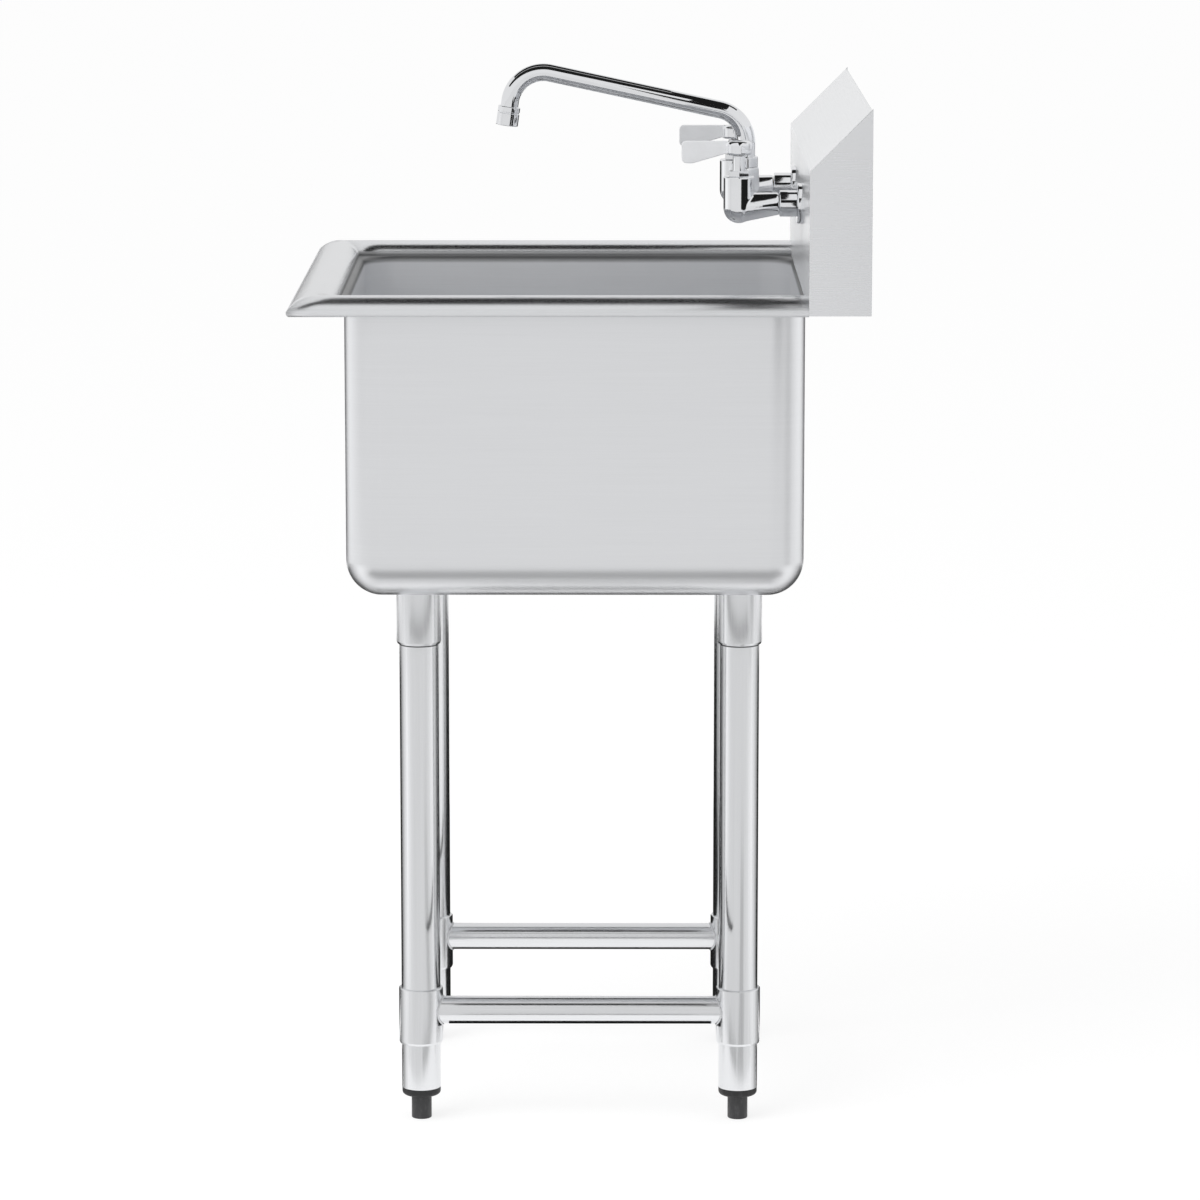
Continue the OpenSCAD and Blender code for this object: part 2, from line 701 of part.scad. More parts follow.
// Valve cup with its round lower end
module valve_cup() {
    rotate_extrude() {
        intersection() {
            circle(cup_r);
            translate([0, -cup_r]) square(cup_r);
        }
        square([cup_r, cup_top_z - cup_z]);
    }
}

// One casting: spout post, bridge, valve cups and inlet arms
module faucet_body() color("lightgray") difference() {
    intersection() {
        union() {
            for (sx = [-1, 1]) translate([sx * valve_x, valve_y, cup_z]) {
                valve_cup();
                rotate([-acos(cup_drop / arm_len), 0, 0])
                    cylinder(h = arm_len + over, r1 = cup_r - arm_root_less, r2 = arm_r);
            }
            translate([-valve_x, bridge_y, bridge_z]) rotate([0, 90, 0]) cylinder(h = inlet_span, r = bridge_r);
            translate([0, post_y, post_base_z]) rotate_extrude() polygon([[0, 0], [post_r - sleeve_taper, 0],
                [post_r, sleeve_taper], [post_top_r, post_h], [0, post_h]]);
        }
        translate([-half_w, -half_d, 0]) cube([overall_w, half_d + arm_end_y, splash_top_z]);
    }
    for (sx = [-1, 1]) translate([sx * valve_x, 0, 0]) {
        translate([0, valve_y, inlet_z]) rotate([-90, 0, 0]) cylinder(h = arm_run + over, r = inlet_bore_r);
        translate([0, valve_y, inlet_z]) cylinder(h = cup_rise + over, r = chamber_r);
    }
    translate([-valve_x, bridge_y, bridge_z]) rotate([0, 90, 0]) cylinder(h = inlet_span, r = bridge_bore_r);
    translate([0, post_y, 0]) {
        translate([0, 0, post_base_z + spout_floor]) cylinder(h = post_h, r = post_bore_r);
        translate([0, 0, post_top_z - spout_ring_h - stop_gap - move_gap])
            cylinder(h = spout_ring_h + move_gap + over, r = spout_ring_r + move_gap);
        translate([0, 0, o_ring_z - o_ring_r - slip_gap])
            cylinder(h = 2 * (o_ring_r + slip_gap), r = o_ring_mid_r + o_ring_r + slip_gap);
    }
}

// A turned ring round an inlet's axis, from y = start, with its front edge chamfered
module inlet_ring(sx, start, length, r_out, r_in) {
    translate([sx * valve_x, start, inlet_z]) rotate([-90, 0, 0]) rotate_extrude() polygon([
        [r_in, 0], [r_out - chamfer, 0], [r_out, chamfer], [r_out, length], [r_in, length]]);
}

module wall_flange(sx) color("lightgray")
    inlet_ring(sx, splash_y - flange_t, flange_t, flange_r, shank_r + slip_gap);

module inlet_nut(sx) color("lightgray") inlet_ring(sx, arm_end_y, nut_len, nut_r, shank_r + slip_gap);

// Threaded nipple from the nut, through the backsplash, to the supply line
module inlet_shank(sx) color("goldenrod") translate([sx * valve_x, shank_start_y, inlet_z])
    rotate([-90, 0, 0]) difference() {
        step = shank_step_y - shank_start_y;
        end = shank_end_y - shank_start_y;
        rotate_extrude() polygon([[0, 0], [shank_r, 0], [shank_r, step], [shank_end_r, step],
            [shank_end_r, end - chamfer], [shank_end_r - chamfer, end], [0, end]]);
        translate([0, 0, -over]) cylinder(h = end + 2 * over, r = shank_bore_r);
    }

module shank_lock_nut(sx) color("goldenrod") translate([sx * valve_x, lock_nut_y, inlet_z])
    rotate([-90, 0, 0]) difference() {
        cylinder(h = lock_nut_t, r = lock_nut_r, $fn = 6);
        translate([0, 0, -over]) cylinder(h = lock_nut_t + 2 * over, r = shank_r + slip_gap);
    }

// Hexagon and column over a valve cup, with a skirt inside the cup
module bonnet(sx) color("lightgray") translate([sx * valve_x, valve_y, 0]) difference() {
    union() {
        translate([0, 0, skirt_z]) cylinder(h = bonnet_skirt, r = chamber_r - slip_gap);
        translate([0, 0, cup_top_z]) cylinder(h = hex_h, r = hex_r, $fn = 6);
        translate([0, 0, cup_top_z + hex_h]) cylinder(h = bonnet_h - hex_h, r = bonnet_r);
    }
    translate([0, 0, skirt_z - over]) cylinder(h = bonnet_top_z - skirt_z + 2 * over, r = stem_r + run_gap);
}

// Valve stem with its disc in the cup
module valve_stem(sx) color("goldenrod") translate([sx * valve_x, valve_y, 0]) difference() {
    union() {
        translate([0, 0, stem_disc_z]) cylinder(h = stem_disc_h, r = chamber_r - move_gap);
        translate([0, 0, stem_disc_z]) cylinder(h = stem_top_z - stem_disc_z, r = stem_r);
    }
    translate([0, 0, stem_top_z - screw_len]) cylinder(h = screw_len + over, r = screw_r + slip_gap / 2);
}

// Outline of the blade: x back from the tip, y up from the hub's foot
module blade_outline() {
    low_x = blade_low_r;
    low_y = hub_h - blade_tip_h + blade_low_r;
    root_x = lever_len - hub_r;
    root_y = hub_h - blade_root_h;
    span = sqrt((root_x - low_x) * (root_x - low_x) + (root_y - low_y) * (root_y - low_y));
    aim = atan2(root_y - low_y, root_x - low_x);
    side = aim - acos(blade_low_r / span);
    translate([low_x, low_y]) circle(blade_low_r);
    translate([blade_top_r, hub_h - blade_top_r]) circle(blade_top_r);
    polygon([[low_x, low_y], [low_x + blade_low_r * cos(side), low_y + blade_low_r * sin(side)],
        [root_x, root_y], [lever_len - stem_r * 2, root_y], [lever_len - stem_r * 2, hub_h],
        [blade_top_r, hub_h], [blade_top_r, hub_h - blade_top_r], [0, hub_h - blade_top_r], [0, low_y]]);
}

// Lever: hub and flat blade that points to the front
module lever(sx) color("whitesmoke") translate([sx * valve_x, valve_y, hub_z]) difference() {
    union() {
        cylinder(h = hub_h, r = hub_r);
        translate([-blade_t / 2, -lever_len, 0]) rotate([90, 0, 90]) linear_extrude(blade_t) blade_outline();
    }
    translate([0, 0, -over]) cylinder(h = stem_in_hub + over, r = stem_r + slip_gap / 2);
    cylinder(h = hub_h + over, r = screw_r + slip_gap / 2);
    translate([0, 0, hub_h - screw_sink]) cylinder(h = screw_sink + over, r = screw_head_r + slip_gap);
}

// Screw that holds the lever on its stem
module lever_screw(sx) color("silver") translate([sx * valve_x, valve_y, 0]) {
    head_z = hub_top_z - screw_sink;
    translate([0, 0, stem_top_z - screw_len + chamfer]) cylinder(h = head_z - stem_top_z + screw_len - chamfer,
        r = screw_r);
    translate([0, 0, head_z]) difference() {
        cylinder(h = screw_head_h, r = screw_head_r);
        translate([0, 0, screw_head_h / 2]) cylinder(h = screw_head_h, r = screw_r, $fn = 6);
    }
}

// Bent part of the spout in its upright plane, as a rod of radius r
module spout_bend(y, z, from, to, r) {
    translate([0, y, z]) rotate([90, 0, 90]) rotate([0, 0, from]) rotate_extrude(angle = to - from)
        translate([bend_r, 0]) circle(r);
}

// A bead across the end of a straight part that starts at y and z and is length long
module spout_bead(y, z, aim, length, r) {
    translate([0, y, z]) rotate([aim, 0, 0]) translate([0, 0, length - bend_bead_w / 2])
        cylinder(h = bend_bead_w, r = r + bend_bead_h);
}

// The spout's whole path as a rod of radius r, longer by extra at both ends
module spout_rod(r, extra) {
    low = post_top_z - spout_low_z + extra;
    translate([0, 0, -low]) cylinder(h = riser_top + low, r = r);
    spout_bend(-bend_r, riser_top, 0, 90 - spout_slope, r);
    translate([0, run_start_y, run_start_z]) rotate([90 - spout_slope, 0, 0]) cylinder(h = spout_run, r = r);
    spout_bend(bend_2_y, bend_2_z, 90 - spout_slope, 180 - nozzle_lean, r);
    translate([0, nozzle_y, nozzle_z]) rotate([180 - nozzle_lean, 0, 0])
        cylinder(h = nozzle_bare + nozzle_in + extra, r = r);
    spout_bead(0, 0, 0, riser_top, r);
    spout_bead(run_start_y, run_start_z, 90 - spout_slope, 0, r);
    spout_bead(run_start_y, run_start_z, 90 - spout_slope, spout_run, r);
    spout_bead(nozzle_y, nozzle_z, 180 - nozzle_lean, 0, r);
}

// Places children at a distance down the nozzle, with z along the water's way
module at_nozzle(down) {
    translate([0, post_y, post_top_z]) translate([0, nozzle_y, nozzle_z]) rotate([180 - nozzle_lean, 0, 0])
        translate([0, 0, down]) children();
}

// Swivel spout with the ring that its nut holds down
module spout() color("lightgray") translate([0, post_y, post_top_z]) difference() {
    union() {
        spout_rod(spout_r, 0);
        translate([0, 0, -spout_ring_h - stop_gap]) cylinder(h = spout_ring_h, r = spout_ring_r);
    }
    spout_rod(spout_bore_r, over);
}

module spout_nut() color("lightgray") translate([0, post_y, post_top_z]) rotate_extrude() polygon([
    [spout_r + stop_gap, 0], [spout_nut_r, 0], [spout_nut_r, spout_nut_h - chamfer],
    [spout_nut_r - chamfer, spout_nut_h], [spout_r + stop_gap, spout_nut_h]]);

module spout_o_ring() color("black") translate([0, post_y, o_ring_z]) rotate_extrude()
    translate([o_ring_mid_r, 0]) circle(o_ring_r);

module aerator() color("lightgray") at_nozzle(nozzle_bare) difference() {
    rotate_extrude() polygon([[0, 0], [aerator_r - chamfer, 0], [aerator_r, chamfer],
        [aerator_r, aerator_len], [0, aerator_len]]);
    translate([0, 0, -over]) cylinder(h = nozzle_in + over, r = spout_r + slip_gap);
    cylinder(h = aerator_len + over, r = aerator_bore_r);
}

module aerator_screen() color("dimgray")
    at_nozzle(nozzle_bare + aerator_len - screen_up - screen_t) difference() {
        cylinder(h = screen_t, r = aerator_bore_r - slip_gap);
        for (ring = screen_rings, i = [1:ring[1]]) rotate([0, 0, 360 * i / ring[1]])
            translate([ring[0] * aerator_bore_r, 0, -over]) cylinder(h = screen_t + 2 * over, r = screen_hole_r);
    }

basin();
rim_front();
rim_side(-1);  // rim_left
rim_side(1);  // rim_right
backsplash_panel();
backsplash_end(-1);  // backsplash_end_left
backsplash_end(1);  // backsplash_end_right
leg_plates();
leg_socket(-1, -1);  // leg_socket_front_left
leg_socket(1, -1);  // leg_socket_front_right
leg_socket(-1, 1);  // leg_socket_rear_left
leg_socket(1, 1);  // leg_socket_rear_right
leg(-1, -1);  // leg_front_left
leg(1, -1);  // leg_front_right
leg(-1, 1);  // leg_rear_left
leg(1, 1);  // leg_rear_right
rail_collar(-1, -1);  // rail_collar_front_left
rail_collar(1, -1);  // rail_collar_front_right
rail_collar(-1, 1);  // rail_collar_rear_left
rail_collar(1, 1);  // rail_collar_rear_right
side_rail(-1);  // side_rail_left
side_rail(1);  // side_rail_right
rear_rail();
socket_set_screws();
collar_set_screws();
foot_plug(-1, -1);  // foot_plug_front_left
foot_plug(1, -1);  // foot_plug_front_right
foot_plug(-1, 1);  // foot_plug_rear_left
foot_plug(1, 1);  // foot_plug_rear_right
foot(-1, -1);  // foot_front_left
foot(1, -1);  // foot_front_right
foot(-1, 1);  // foot_rear_left
foot(1, 1);  // foot_rear_right
drain_body();
drain_gasket();
drain_washer();
drain_lock_nut();
strainer_basket();
faucet_body();
wall_flange(-1);  // wall_flange_hot
wall_flange(1);  // wall_flange_cold
inlet_nut(-1);  // inlet_nut_hot
inlet_nut(1);  // inlet_nut_cold
inlet_shank(-1);  // inlet_shank_hot
inlet_shank(1);  // inlet_shank_cold
shank_lock_nut(-1);  // shank_lock_nut_hot
shank_lock_nut(1);  // shank_lock_nut_cold
bonnet(-1);  // bonnet_hot
bonnet(1);  // bonnet_cold
valve_stem(-1);  // valve_stem_hot
valve_stem(1);  // valve_stem_cold
lever(-1);  // lever_hot
lever(1);  // lever_cold
lever_screw(-1);  // lever_screw_hot
lever_screw(1);  // lever_screw_cold
spout();
spout_nut();
spout_o_ring();
aerator();
aerator_screen();
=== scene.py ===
"""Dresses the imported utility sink: drawn and folded sheet, tube legs, chrome faucet, and a plain studio."""
import math
import types

import bmesh
import bpy
from mathutils import Matrix, Vector


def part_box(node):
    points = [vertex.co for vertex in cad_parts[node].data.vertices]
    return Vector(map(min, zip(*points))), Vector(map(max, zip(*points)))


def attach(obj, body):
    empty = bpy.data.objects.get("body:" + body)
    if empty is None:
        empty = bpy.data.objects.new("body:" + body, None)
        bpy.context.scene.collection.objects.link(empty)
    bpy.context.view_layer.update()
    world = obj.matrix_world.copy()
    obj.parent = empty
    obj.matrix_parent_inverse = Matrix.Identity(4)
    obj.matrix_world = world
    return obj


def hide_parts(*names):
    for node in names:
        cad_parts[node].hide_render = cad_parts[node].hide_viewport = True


bl_info = {
    "name": "Utility sink",
    "version": (1, 0, 0),
    "blender": (4, 5, 0),
    "location": "View3D > Sidebar > Sink",
    "description": "Builds the visible forms and finishes of a free-standing utility sink",
    "category": "Object",
}

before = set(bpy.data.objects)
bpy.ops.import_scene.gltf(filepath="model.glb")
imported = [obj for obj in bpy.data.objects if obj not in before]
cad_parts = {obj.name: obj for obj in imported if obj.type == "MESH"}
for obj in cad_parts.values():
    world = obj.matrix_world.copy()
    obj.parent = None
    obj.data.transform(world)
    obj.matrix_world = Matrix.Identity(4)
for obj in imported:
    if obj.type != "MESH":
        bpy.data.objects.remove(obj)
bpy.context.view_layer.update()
MM = 0.001
CORNERS = {"front_left": (-1, -1), "front_right": (1, -1), "rear_left": (-1, 1), "rear_right": (1, 1)}
SIDES = {"hot": -1, "cold": 1}
ENDS = {"left": -1, "right": 1}
GROUND = 0.004  # height of the cards that lie on the floor


# Shader maths

class Value:
    """A socket of a finish, so that shader maths reads as Python."""

    def __init__(self, finish, socket):
        self.finish = finish
        self.socket = socket

    def _math(self, operation, *others):
        return self.finish.node("ShaderNodeMath", {"operation": operation}, dict(enumerate(others)))

    def __add__(self, other):
        return self._math("ADD", self, other)

    def __radd__(self, other):
        return self._math("ADD", other, self)

    def __sub__(self, other):
        return self._math("SUBTRACT", self, other)

    def __rsub__(self, other):
        return self._math("SUBTRACT", other, self)

    def __mul__(self, other):
        return self._math("MULTIPLY", self, other)

    def __rmul__(self, other):
        return self._math("MULTIPLY", other, self)

    def floor_at(self, low):
        return self._math("MAXIMUM", self, low)

    def ends(self):
        """Makes this shader the surface."""
        self.finish.tree.links.new(self.socket, self.finish.output.inputs["Surface"])

    def size(self):
        return self._math("ABSOLUTE", self)

    def sine(self):
        return self._math("SINE", self)

    def ramp(self, low, high):
        """0 to 1 as this value goes smoothly from one number to another."""
        return self.finish.node("ShaderNodeMapRange", {"interpolation_type": "SMOOTHSTEP"},
                                {"Value": self, "From Min": low, "From Max": high})


class Finish:
    """A procedural surface finish on the object's own coordinates."""

    def __init__(self, name, tree=None, output="ShaderNodeOutputMaterial"):
        self.material = None
        if tree is None:
            self.material = bpy.data.materials.new(name)
            self.material.use_nodes = True
            tree = self.material.node_tree
            tree.nodes.clear()
        self.tree = tree
        self.output = tree.nodes.new(output)

    def node(self, kind, settings=None, inputs=None, out=0):
        made = self.tree.nodes.new(kind)
        for key, value in (settings or {}).items():
            setattr(made, key, value)
        for key, value in (inputs or {}).items():
            if isinstance(value, Value):
                self.tree.links.new(value.socket, made.inputs[key])
            else:
                made.inputs[key].default_value = value
        return Value(self, made.outputs[out])

    def position(self, scale=(1, 1, 1), shift=(0, 0, 0)):
        """The object's own position, stretched along its axes."""
        place = self.node("ShaderNodeTexCoord", out="Object")
        return self.node("ShaderNodeMapping", None, {"Vector": place, "Scale": scale, "Location": shift})

    def axis(self, name):
        return self.node("ShaderNodeSeparateXYZ", None, {"Vector": self.position()}, out=name)

    def noise(self, scale, detail=2.0, rough=0.5, shift=(0, 0, 0)):
        return self.node("ShaderNodeTexNoise", {"noise_dimensions": "3D"},
                         {"Vector": self.position(scale, shift), "Scale": 1.0, "Detail": detail,
                          "Roughness": rough}, out="Fac")

    def shade(self, dark, light, factor):
        """A colour between two, which are three numbers or another node's result, by a factor."""
        dark, light = (end if isinstance(end, Value) else (*end, 1) for end in (dark, light))
        return self.node("ShaderNodeMix", {"data_type": "RGBA"}, {"Factor": factor, "A": dark, "B": light},
                         out="Result")

    def relief(self, height, strength, distance):
        return self.node("ShaderNodeBump", None, {"Height": height, "Strength": strength, "Distance": distance},
                         out="Normal")

    def shown(self):
        """1 for the rays that see the background: straight, mirrored or through glass."""
        rays = [self.node("ShaderNodeLightPath", out="Is %s Ray" % kind)
                for kind in ("Camera", "Glossy", "Transmission")]
        return rays[0].floor_at(rays[1]).floor_at(rays[2])

    def surface(self, **sockets):
        """The finished surface, from Principled sockets by name, with spaces as underscores."""
        self.node("ShaderNodeBsdfPrincipled", None, {k.replace("_", " "): v for k, v in sockets.items()}).ends()
        return self.material


def tint(value):
    """A grey, a little cool."""
    return (value * 0.99, value, value * 1.02)


def brushed(name, stroke, base, rough, grain, depth, metal=1.0, marks=None):
    """Brushed stainless: fine lines along the stroke's direction, which has the small number."""
    f = Finish(name)
    lines = f.noise(stroke, 3.0, 0.6)
    broad = f.noise(tuple(v * 0.12 for v in stroke), 2.0, 0.5, (3.1, 1.7, 0.4))
    cloud = f.noise((9, 9, 9), 2.0, 0.5)
    mark = lines * 0.6 + broad * 0.25 + cloud * 0.15
    colour = f.shade(tint(base - grain), tint(base + grain), mark.ramp(0.3, 0.7))
    roughness = ((lines - 0.5) * 0.1 + (cloud - 0.5) * 0.05 + rough).floor_at(0.05)
    if marks:
        colour, roughness = marks(f, colour, roughness)
    return f.surface(Base_Color=colour, Metallic=metal, Roughness=roughness, Normal=f.relief(lines, depth, 0.00006))


def bowl_edge_painted_shade(f, colour, roughness):
    """Painted shade: the bowl, darker in a band where it is welded to the ledge."""
    return f.shade(colour, tint(PAINTED_SHADE_GREY), f.axis("Z").ramp(0.8725, 0.8785)), roughness


def rim_edge_painted_shade(f, colour, roughness):
    """The rim, with painted shade along its inner edge, and duller low on its beads."""
    # painted shade: a dark band where the rim meets the bowl's wall
    painted_shade_mask = f.axis("X").size().ramp(0.2545, 0.2515) * f.axis("Y").ramp(-0.2525, -0.2495)
    return f.shade(colour, tint(PAINTED_SHADE_GREY), painted_shade_mask), roughness + f.axis("Z").ramp(0.8865, 0.8825) * 0.25


def socket_gap_painted_shade(f, colour, roughness):
    """Painted shade: a dark line on the tube just below its socket, where the gap is in shadow."""
    # painted shade: darkens a thin ring of the tube under the socket's lower edge
    z, low = f.axis("Z"), SOCKET_LOW - 0.0012
    gap = z.ramp(low - 0.0006, low) * z.ramp(SOCKET_LOW + 0.0006, SOCKET_LOW)
    return f.shade(colour, tint(0.1), gap), roughness


def levered(name, props):
    """A satin blade that runs into a polished hub."""
    f = Finish(name)
    blade = f.axis("Y").ramp(0.156, 0.155)
    cloud = f.noise((60, 60, 60), 3.0, 0.55)
    grey = f.shade(tint(props.lever_grey - 0.02), tint(props.lever_grey + 0.02), cloud.ramp(0.3, 0.7))
    colour = f.shade(tint(props.chrome_grey), grey, blade)
    return f.surface(Base_Color=colour, Metallic=1.0 - blade * 0.85, Roughness=(blade * 0.42 + cloud * 0.05 + 0.04),
                     Normal=f.relief(cloud, 0.03, 0.0001))


def polished(name, base, rough=0.035, smudge=0.05):
    """Polished chrome with faint smudges and a trace of orange peel."""
    f = Finish(name)
    cloud = f.noise((38, 38, 38), 3.0, 0.55)
    peel = f.noise((420, 420, 420), 1.0, 0.4)
    colour = f.shade(tint(base - 0.02), tint(base + 0.01), cloud.ramp(0.3, 0.7))
    return f.surface(Base_Color=colour, Metallic=1.0, Roughness=(cloud * smudge + rough),
                     Normal=f.relief(peel, 0.02, 0.00004))


def moulded(name, dark, light, rough):
    """Moulded plastic or rubber with a fine grain and lighter scuffs."""
    f = Finish(name)
    grain = f.noise((1400, 1400, 1400), 2.0, 0.6)
    scuff = f.noise((160, 160, 60), 4.0, 0.6)
    colour = f.shade(dark, light, scuff.ramp(0.45, 0.75))
    return f.surface(Base_Color=colour, Roughness=(grain * 0.12 + rough),
                     Normal=f.relief(grain, 0.25, 0.00008))


def threaded(name, along, pitch):
    """Turned brass with the turns of a thread along one axis."""
    f = Finish(name)
    turns = (f.axis(along) * (2 * math.pi / pitch)).sine()
    stain = f.noise((120, 120, 120), 3.0, 0.6)
    colour = f.shade((0.50, 0.36, 0.15), (0.76, 0.58, 0.28), stain.ramp(0.3, 0.7))
    return f.surface(Base_Color=colour, Metallic=1.0, Roughness=(stain * 0.25 + 0.2),
                     Normal=f.relief(turns, 0.8, 0.0004))


FINISHES = {}
# grey of the painted shade along the bowl's edge and the rim's inner edge
PAINTED_SHADE_GREY = 0.16
SOCKET_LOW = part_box("leg_socket_front_left")[0].z


def make_finishes(props):
    sheet, tube = props.sheet_grey, props.tube_grey
    for make, name, *values in (
            # the bowl, rim and upright tube finishes below carry painted shade: at the bowl's edge, the rim's inner
            # edge and just under the sockets
            (brushed, "bowl_sheet", (8, 8, 700), sheet, 0.33, 0.012, 0.05, 1.0, bowl_edge_painted_shade),
            (brushed, "bowl_inside", (8, 8, 700), props.inside_grey, 0.36, 0.015, 0.06, 0.72, bowl_edge_painted_shade),
            (brushed, "rim_sheet", (5, 5, 420), props.rim_grey, 0.24, 0.012, 0.025, 1.0, rim_edge_painted_shade),
            (brushed, "splash_sheet", (6, 700, 700), sheet, 0.24, 0.004, 0.01, 0.45),
            (brushed, "end_sheet", (900, 8, 700), sheet, 0.28, 0.004, 0.015),
            (brushed, "tube_upright", (900, 900, 5), tube, 0.19, 0.02, 0.03, 1.0, socket_gap_painted_shade),
            (brushed, "sleeve_upright", (900, 900, 9), tube, 0.2, 0.03, 0.05),
            (brushed, "tube_fore_aft", (900, 5, 900), tube, 0.19, 0.03, 0.05),
            (brushed, "tube_across", (5, 900, 900), tube, 0.19, 0.03, 0.05),
            (brushed, "weld", (500, 500, 500), tube * 0.9, 0.28, 0.05, 0.3),
            (brushed, "screw_zinc", (300, 300, 300), 0.42, 0.3, 0.06, 0.3),
            (brushed, "drain_steel", (260, 260, 900), 0.58, 0.24, 0.04, 0.1),
            (polished, "chrome", props.chrome_grey),
            (levered, "lever_satin", props),
            (moulded, "plug_plastic", (0.012, 0.012, 0.013), (0.03, 0.03, 0.032), 0.42),
            (moulded, "foot_plastic", (0.035, 0.035, 0.037), (0.07, 0.07, 0.072), 0.38),
            (moulded, "rubber", (0.015, 0.015, 0.015), (0.04, 0.04, 0.04), 0.6),
            (moulded, "fibre", (0.22, 0.12, 0.06), (0.34, 0.2, 0.11), 0.7),
            (moulded, "screen_plastic", (0.05, 0.05, 0.05), (0.11, 0.11, 0.11), 0.5),
            (threaded, "brass_shank", "Y", 0.0018),
            (threaded, "brass_plain", "Z", 0.004)):
        FINISHES[name] = make(name, *values)


# Mesh making

def link(obj):
    bpy.context.scene.collection.objects.link(obj)
    return obj


def closed_mesh(name, verts, faces, spare=True):
    """A mesh with its faces outwards, its doubles merged and, if spare, its needless edges dissolved."""
    mesh = bpy.data.meshes.new(name)
    mesh.from_pydata(verts, [], faces)
    work = bmesh.new()
    work.from_mesh(mesh)
    bmesh.ops.remove_doubles(work, verts=work.verts, dist=1e-6)
    if spare:
        bmesh.ops.dissolve_degenerate(work, edges=work.edges, dist=1e-7)
    bmesh.ops.recalc_face_normals(work, faces=work.faces)
    work.to_mesh(mesh)
    work.free()
    return mesh


def piece(name, verts, faces, finish, crease=30.0):
    """A closed piece, smooth but for edges sharper than crease, in degrees."""
    mesh = closed_mesh(name, verts, faces)
    mesh.shade_smooth()
    mesh.set_sharp_from_angle(angle=math.radians(crease))
    mesh.materials.append(FINISHES[finish])
    obj = link(bpy.data.objects.new(name, mesh))
    mod = obj.modifiers.new("face_weighted_normals", "WEIGHTED_NORMAL")
    mod.keep_sharp = True
    mod.weight = 80
    return obj


def coat(obj, material):
    obj.data.materials.clear()
    obj.data.materials.append(material)


def stand_for(obj, body, slot, *nodes):
    """Puts a piece on its body, in the place of solids, which take its finish."""
    for node in nodes:
        coat(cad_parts[node], obj.data.materials[0])
    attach(obj, body)
    if nodes:
        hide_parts(*nodes)


def fitted(node, mesh, finish, slot, body="sink", crease=30.0, edge=None):
    """A piece in the place of one solid; edge holds the width, segments and angle of soft edges."""
    obj = piece(node + "_form", *mesh, finish, crease)
    if edge:
        soften(obj, *edge)
    stand_for(obj, body, slot, node)


def rounded(points, steps=5):
    """Corner points (x, y, radius) as an outline with its corners rounded."""
    out = []
    count = len(points)
    for i, (x, y, r) in enumerate(points):
        if r <= 0:
            out.append((x, y))
            continue
        p = Vector((x, y))
        a = (Vector(points[i - 1][:2]) - p)
        b = (Vector(points[(i + 1) % count][:2]) - p)
        half = a.angle(b) / 2
        reach = min(r / math.tan(half), a.length * 0.49, b.length * 0.49)
        r = reach * math.tan(half)
        start = p + a.normalized() * reach
        end = p + b.normalized() * reach
        middle = p + (a.normalized() + b.normalized()).normalized() * (r / math.sin(half))
        sa = start - middle
        turn = sa.angle_signed(end - middle)
        for k in range(steps + 1):
            t = -turn * k / steps
            out.append((middle.x + sa.x * math.cos(t) - sa.y * math.sin(t),
                        middle.y + sa.x * math.sin(t) + sa.y * math.cos(t)))
    return out


def arc(cx, cy, r, start, end, steps):
    """Points on an arc, in degrees."""
    return [(cx + r * math.cos(math.radians(start + (end - start) * k / steps)),
             cy + r * math.sin(math.radians(start + (end - start) * k / steps))) for k in range(steps + 1)]


def ring_faces(count, n, closed=True):
    """Faces between rings of n points, and from the last ring back to the first where they close."""
    return [(k * n + i, k * n + (i + 1) % n, (k + 1) % count * n + (i + 1) % n, (k + 1) % count * n + i)
            for k in range(count if closed else count - 1) for i in range(n)]


def turned(profile, origin, axis=(0, 0, 1), segments=72):
    """An outline (radius, height), closed on itself, turned round an axis; its sizes are in mm."""
    place = Matrix.Translation([v * MM for v in origin]) @ Vector(axis).to_track_quat("Z", "X").to_matrix().to_4x4()
    profile = metres(profile)
    verts = []
    for s in range(segments):
        a = 2 * math.pi * s / segments
        verts += [place @ Vector((r * math.cos(a), r * math.sin(a), h)) for r, h in profile]
    return verts, ring_faces(segments, len(profile))


def joined(*parts):
    verts, faces = [], []
    for v, f in parts:
        base = len(verts)
        verts += list(v)
        faces += [tuple(base + i for i in face) for face in f]
    return verts, faces


def shell(rings):
    """A skin through rings of points, from the last ring back to the first."""
    return [p for ring in rings for p in ring], ring_faces(len(rings), len(rings[0]))


def swept(rings):
    """A closed tube through rings of points, capped at both ends."""
    n = len(rings[0])
    last = (len(rings) - 1) * n
    caps = [tuple(range(n)), tuple(last + i for i in reversed(range(n)))]
    return [p for ring in rings for p in ring], ring_faces(len(rings), n, closed=False) + caps


def extruded(outline, place, depth):
    """An outline (two numbers a point) pushed along; place maps (a, b, c) to a point in mm."""
    return swept([metres([place(a, b, c) for a, b in outline]) for c in (0, depth)])


def metres(points):
    return [tuple(v * MM for v in p) for p in points]


# Values that a user may change

def length(name, description, mm):
    return bpy.props.FloatProperty(name=name, description=description, default=mm * MM, subtype="DISTANCE",
                                   unit="LENGTH")


def share(name, description, default):
    return bpy.props.FloatProperty(name=name, description=description, default=default, min=0, max=1,
                                   subtype="FACTOR")


def in_mm(group):
    """A group's values, with its lengths in mm."""
    values = {}
    for prop in group.bl_rna.properties:
        if prop.type == "FLOAT":
            value = getattr(group, prop.identifier)
            values[prop.identifier] = round(value / MM, 4) if prop.unit == "LENGTH" else round(value, 6)
    return types.SimpleNamespace(**values)


# Sheet metal

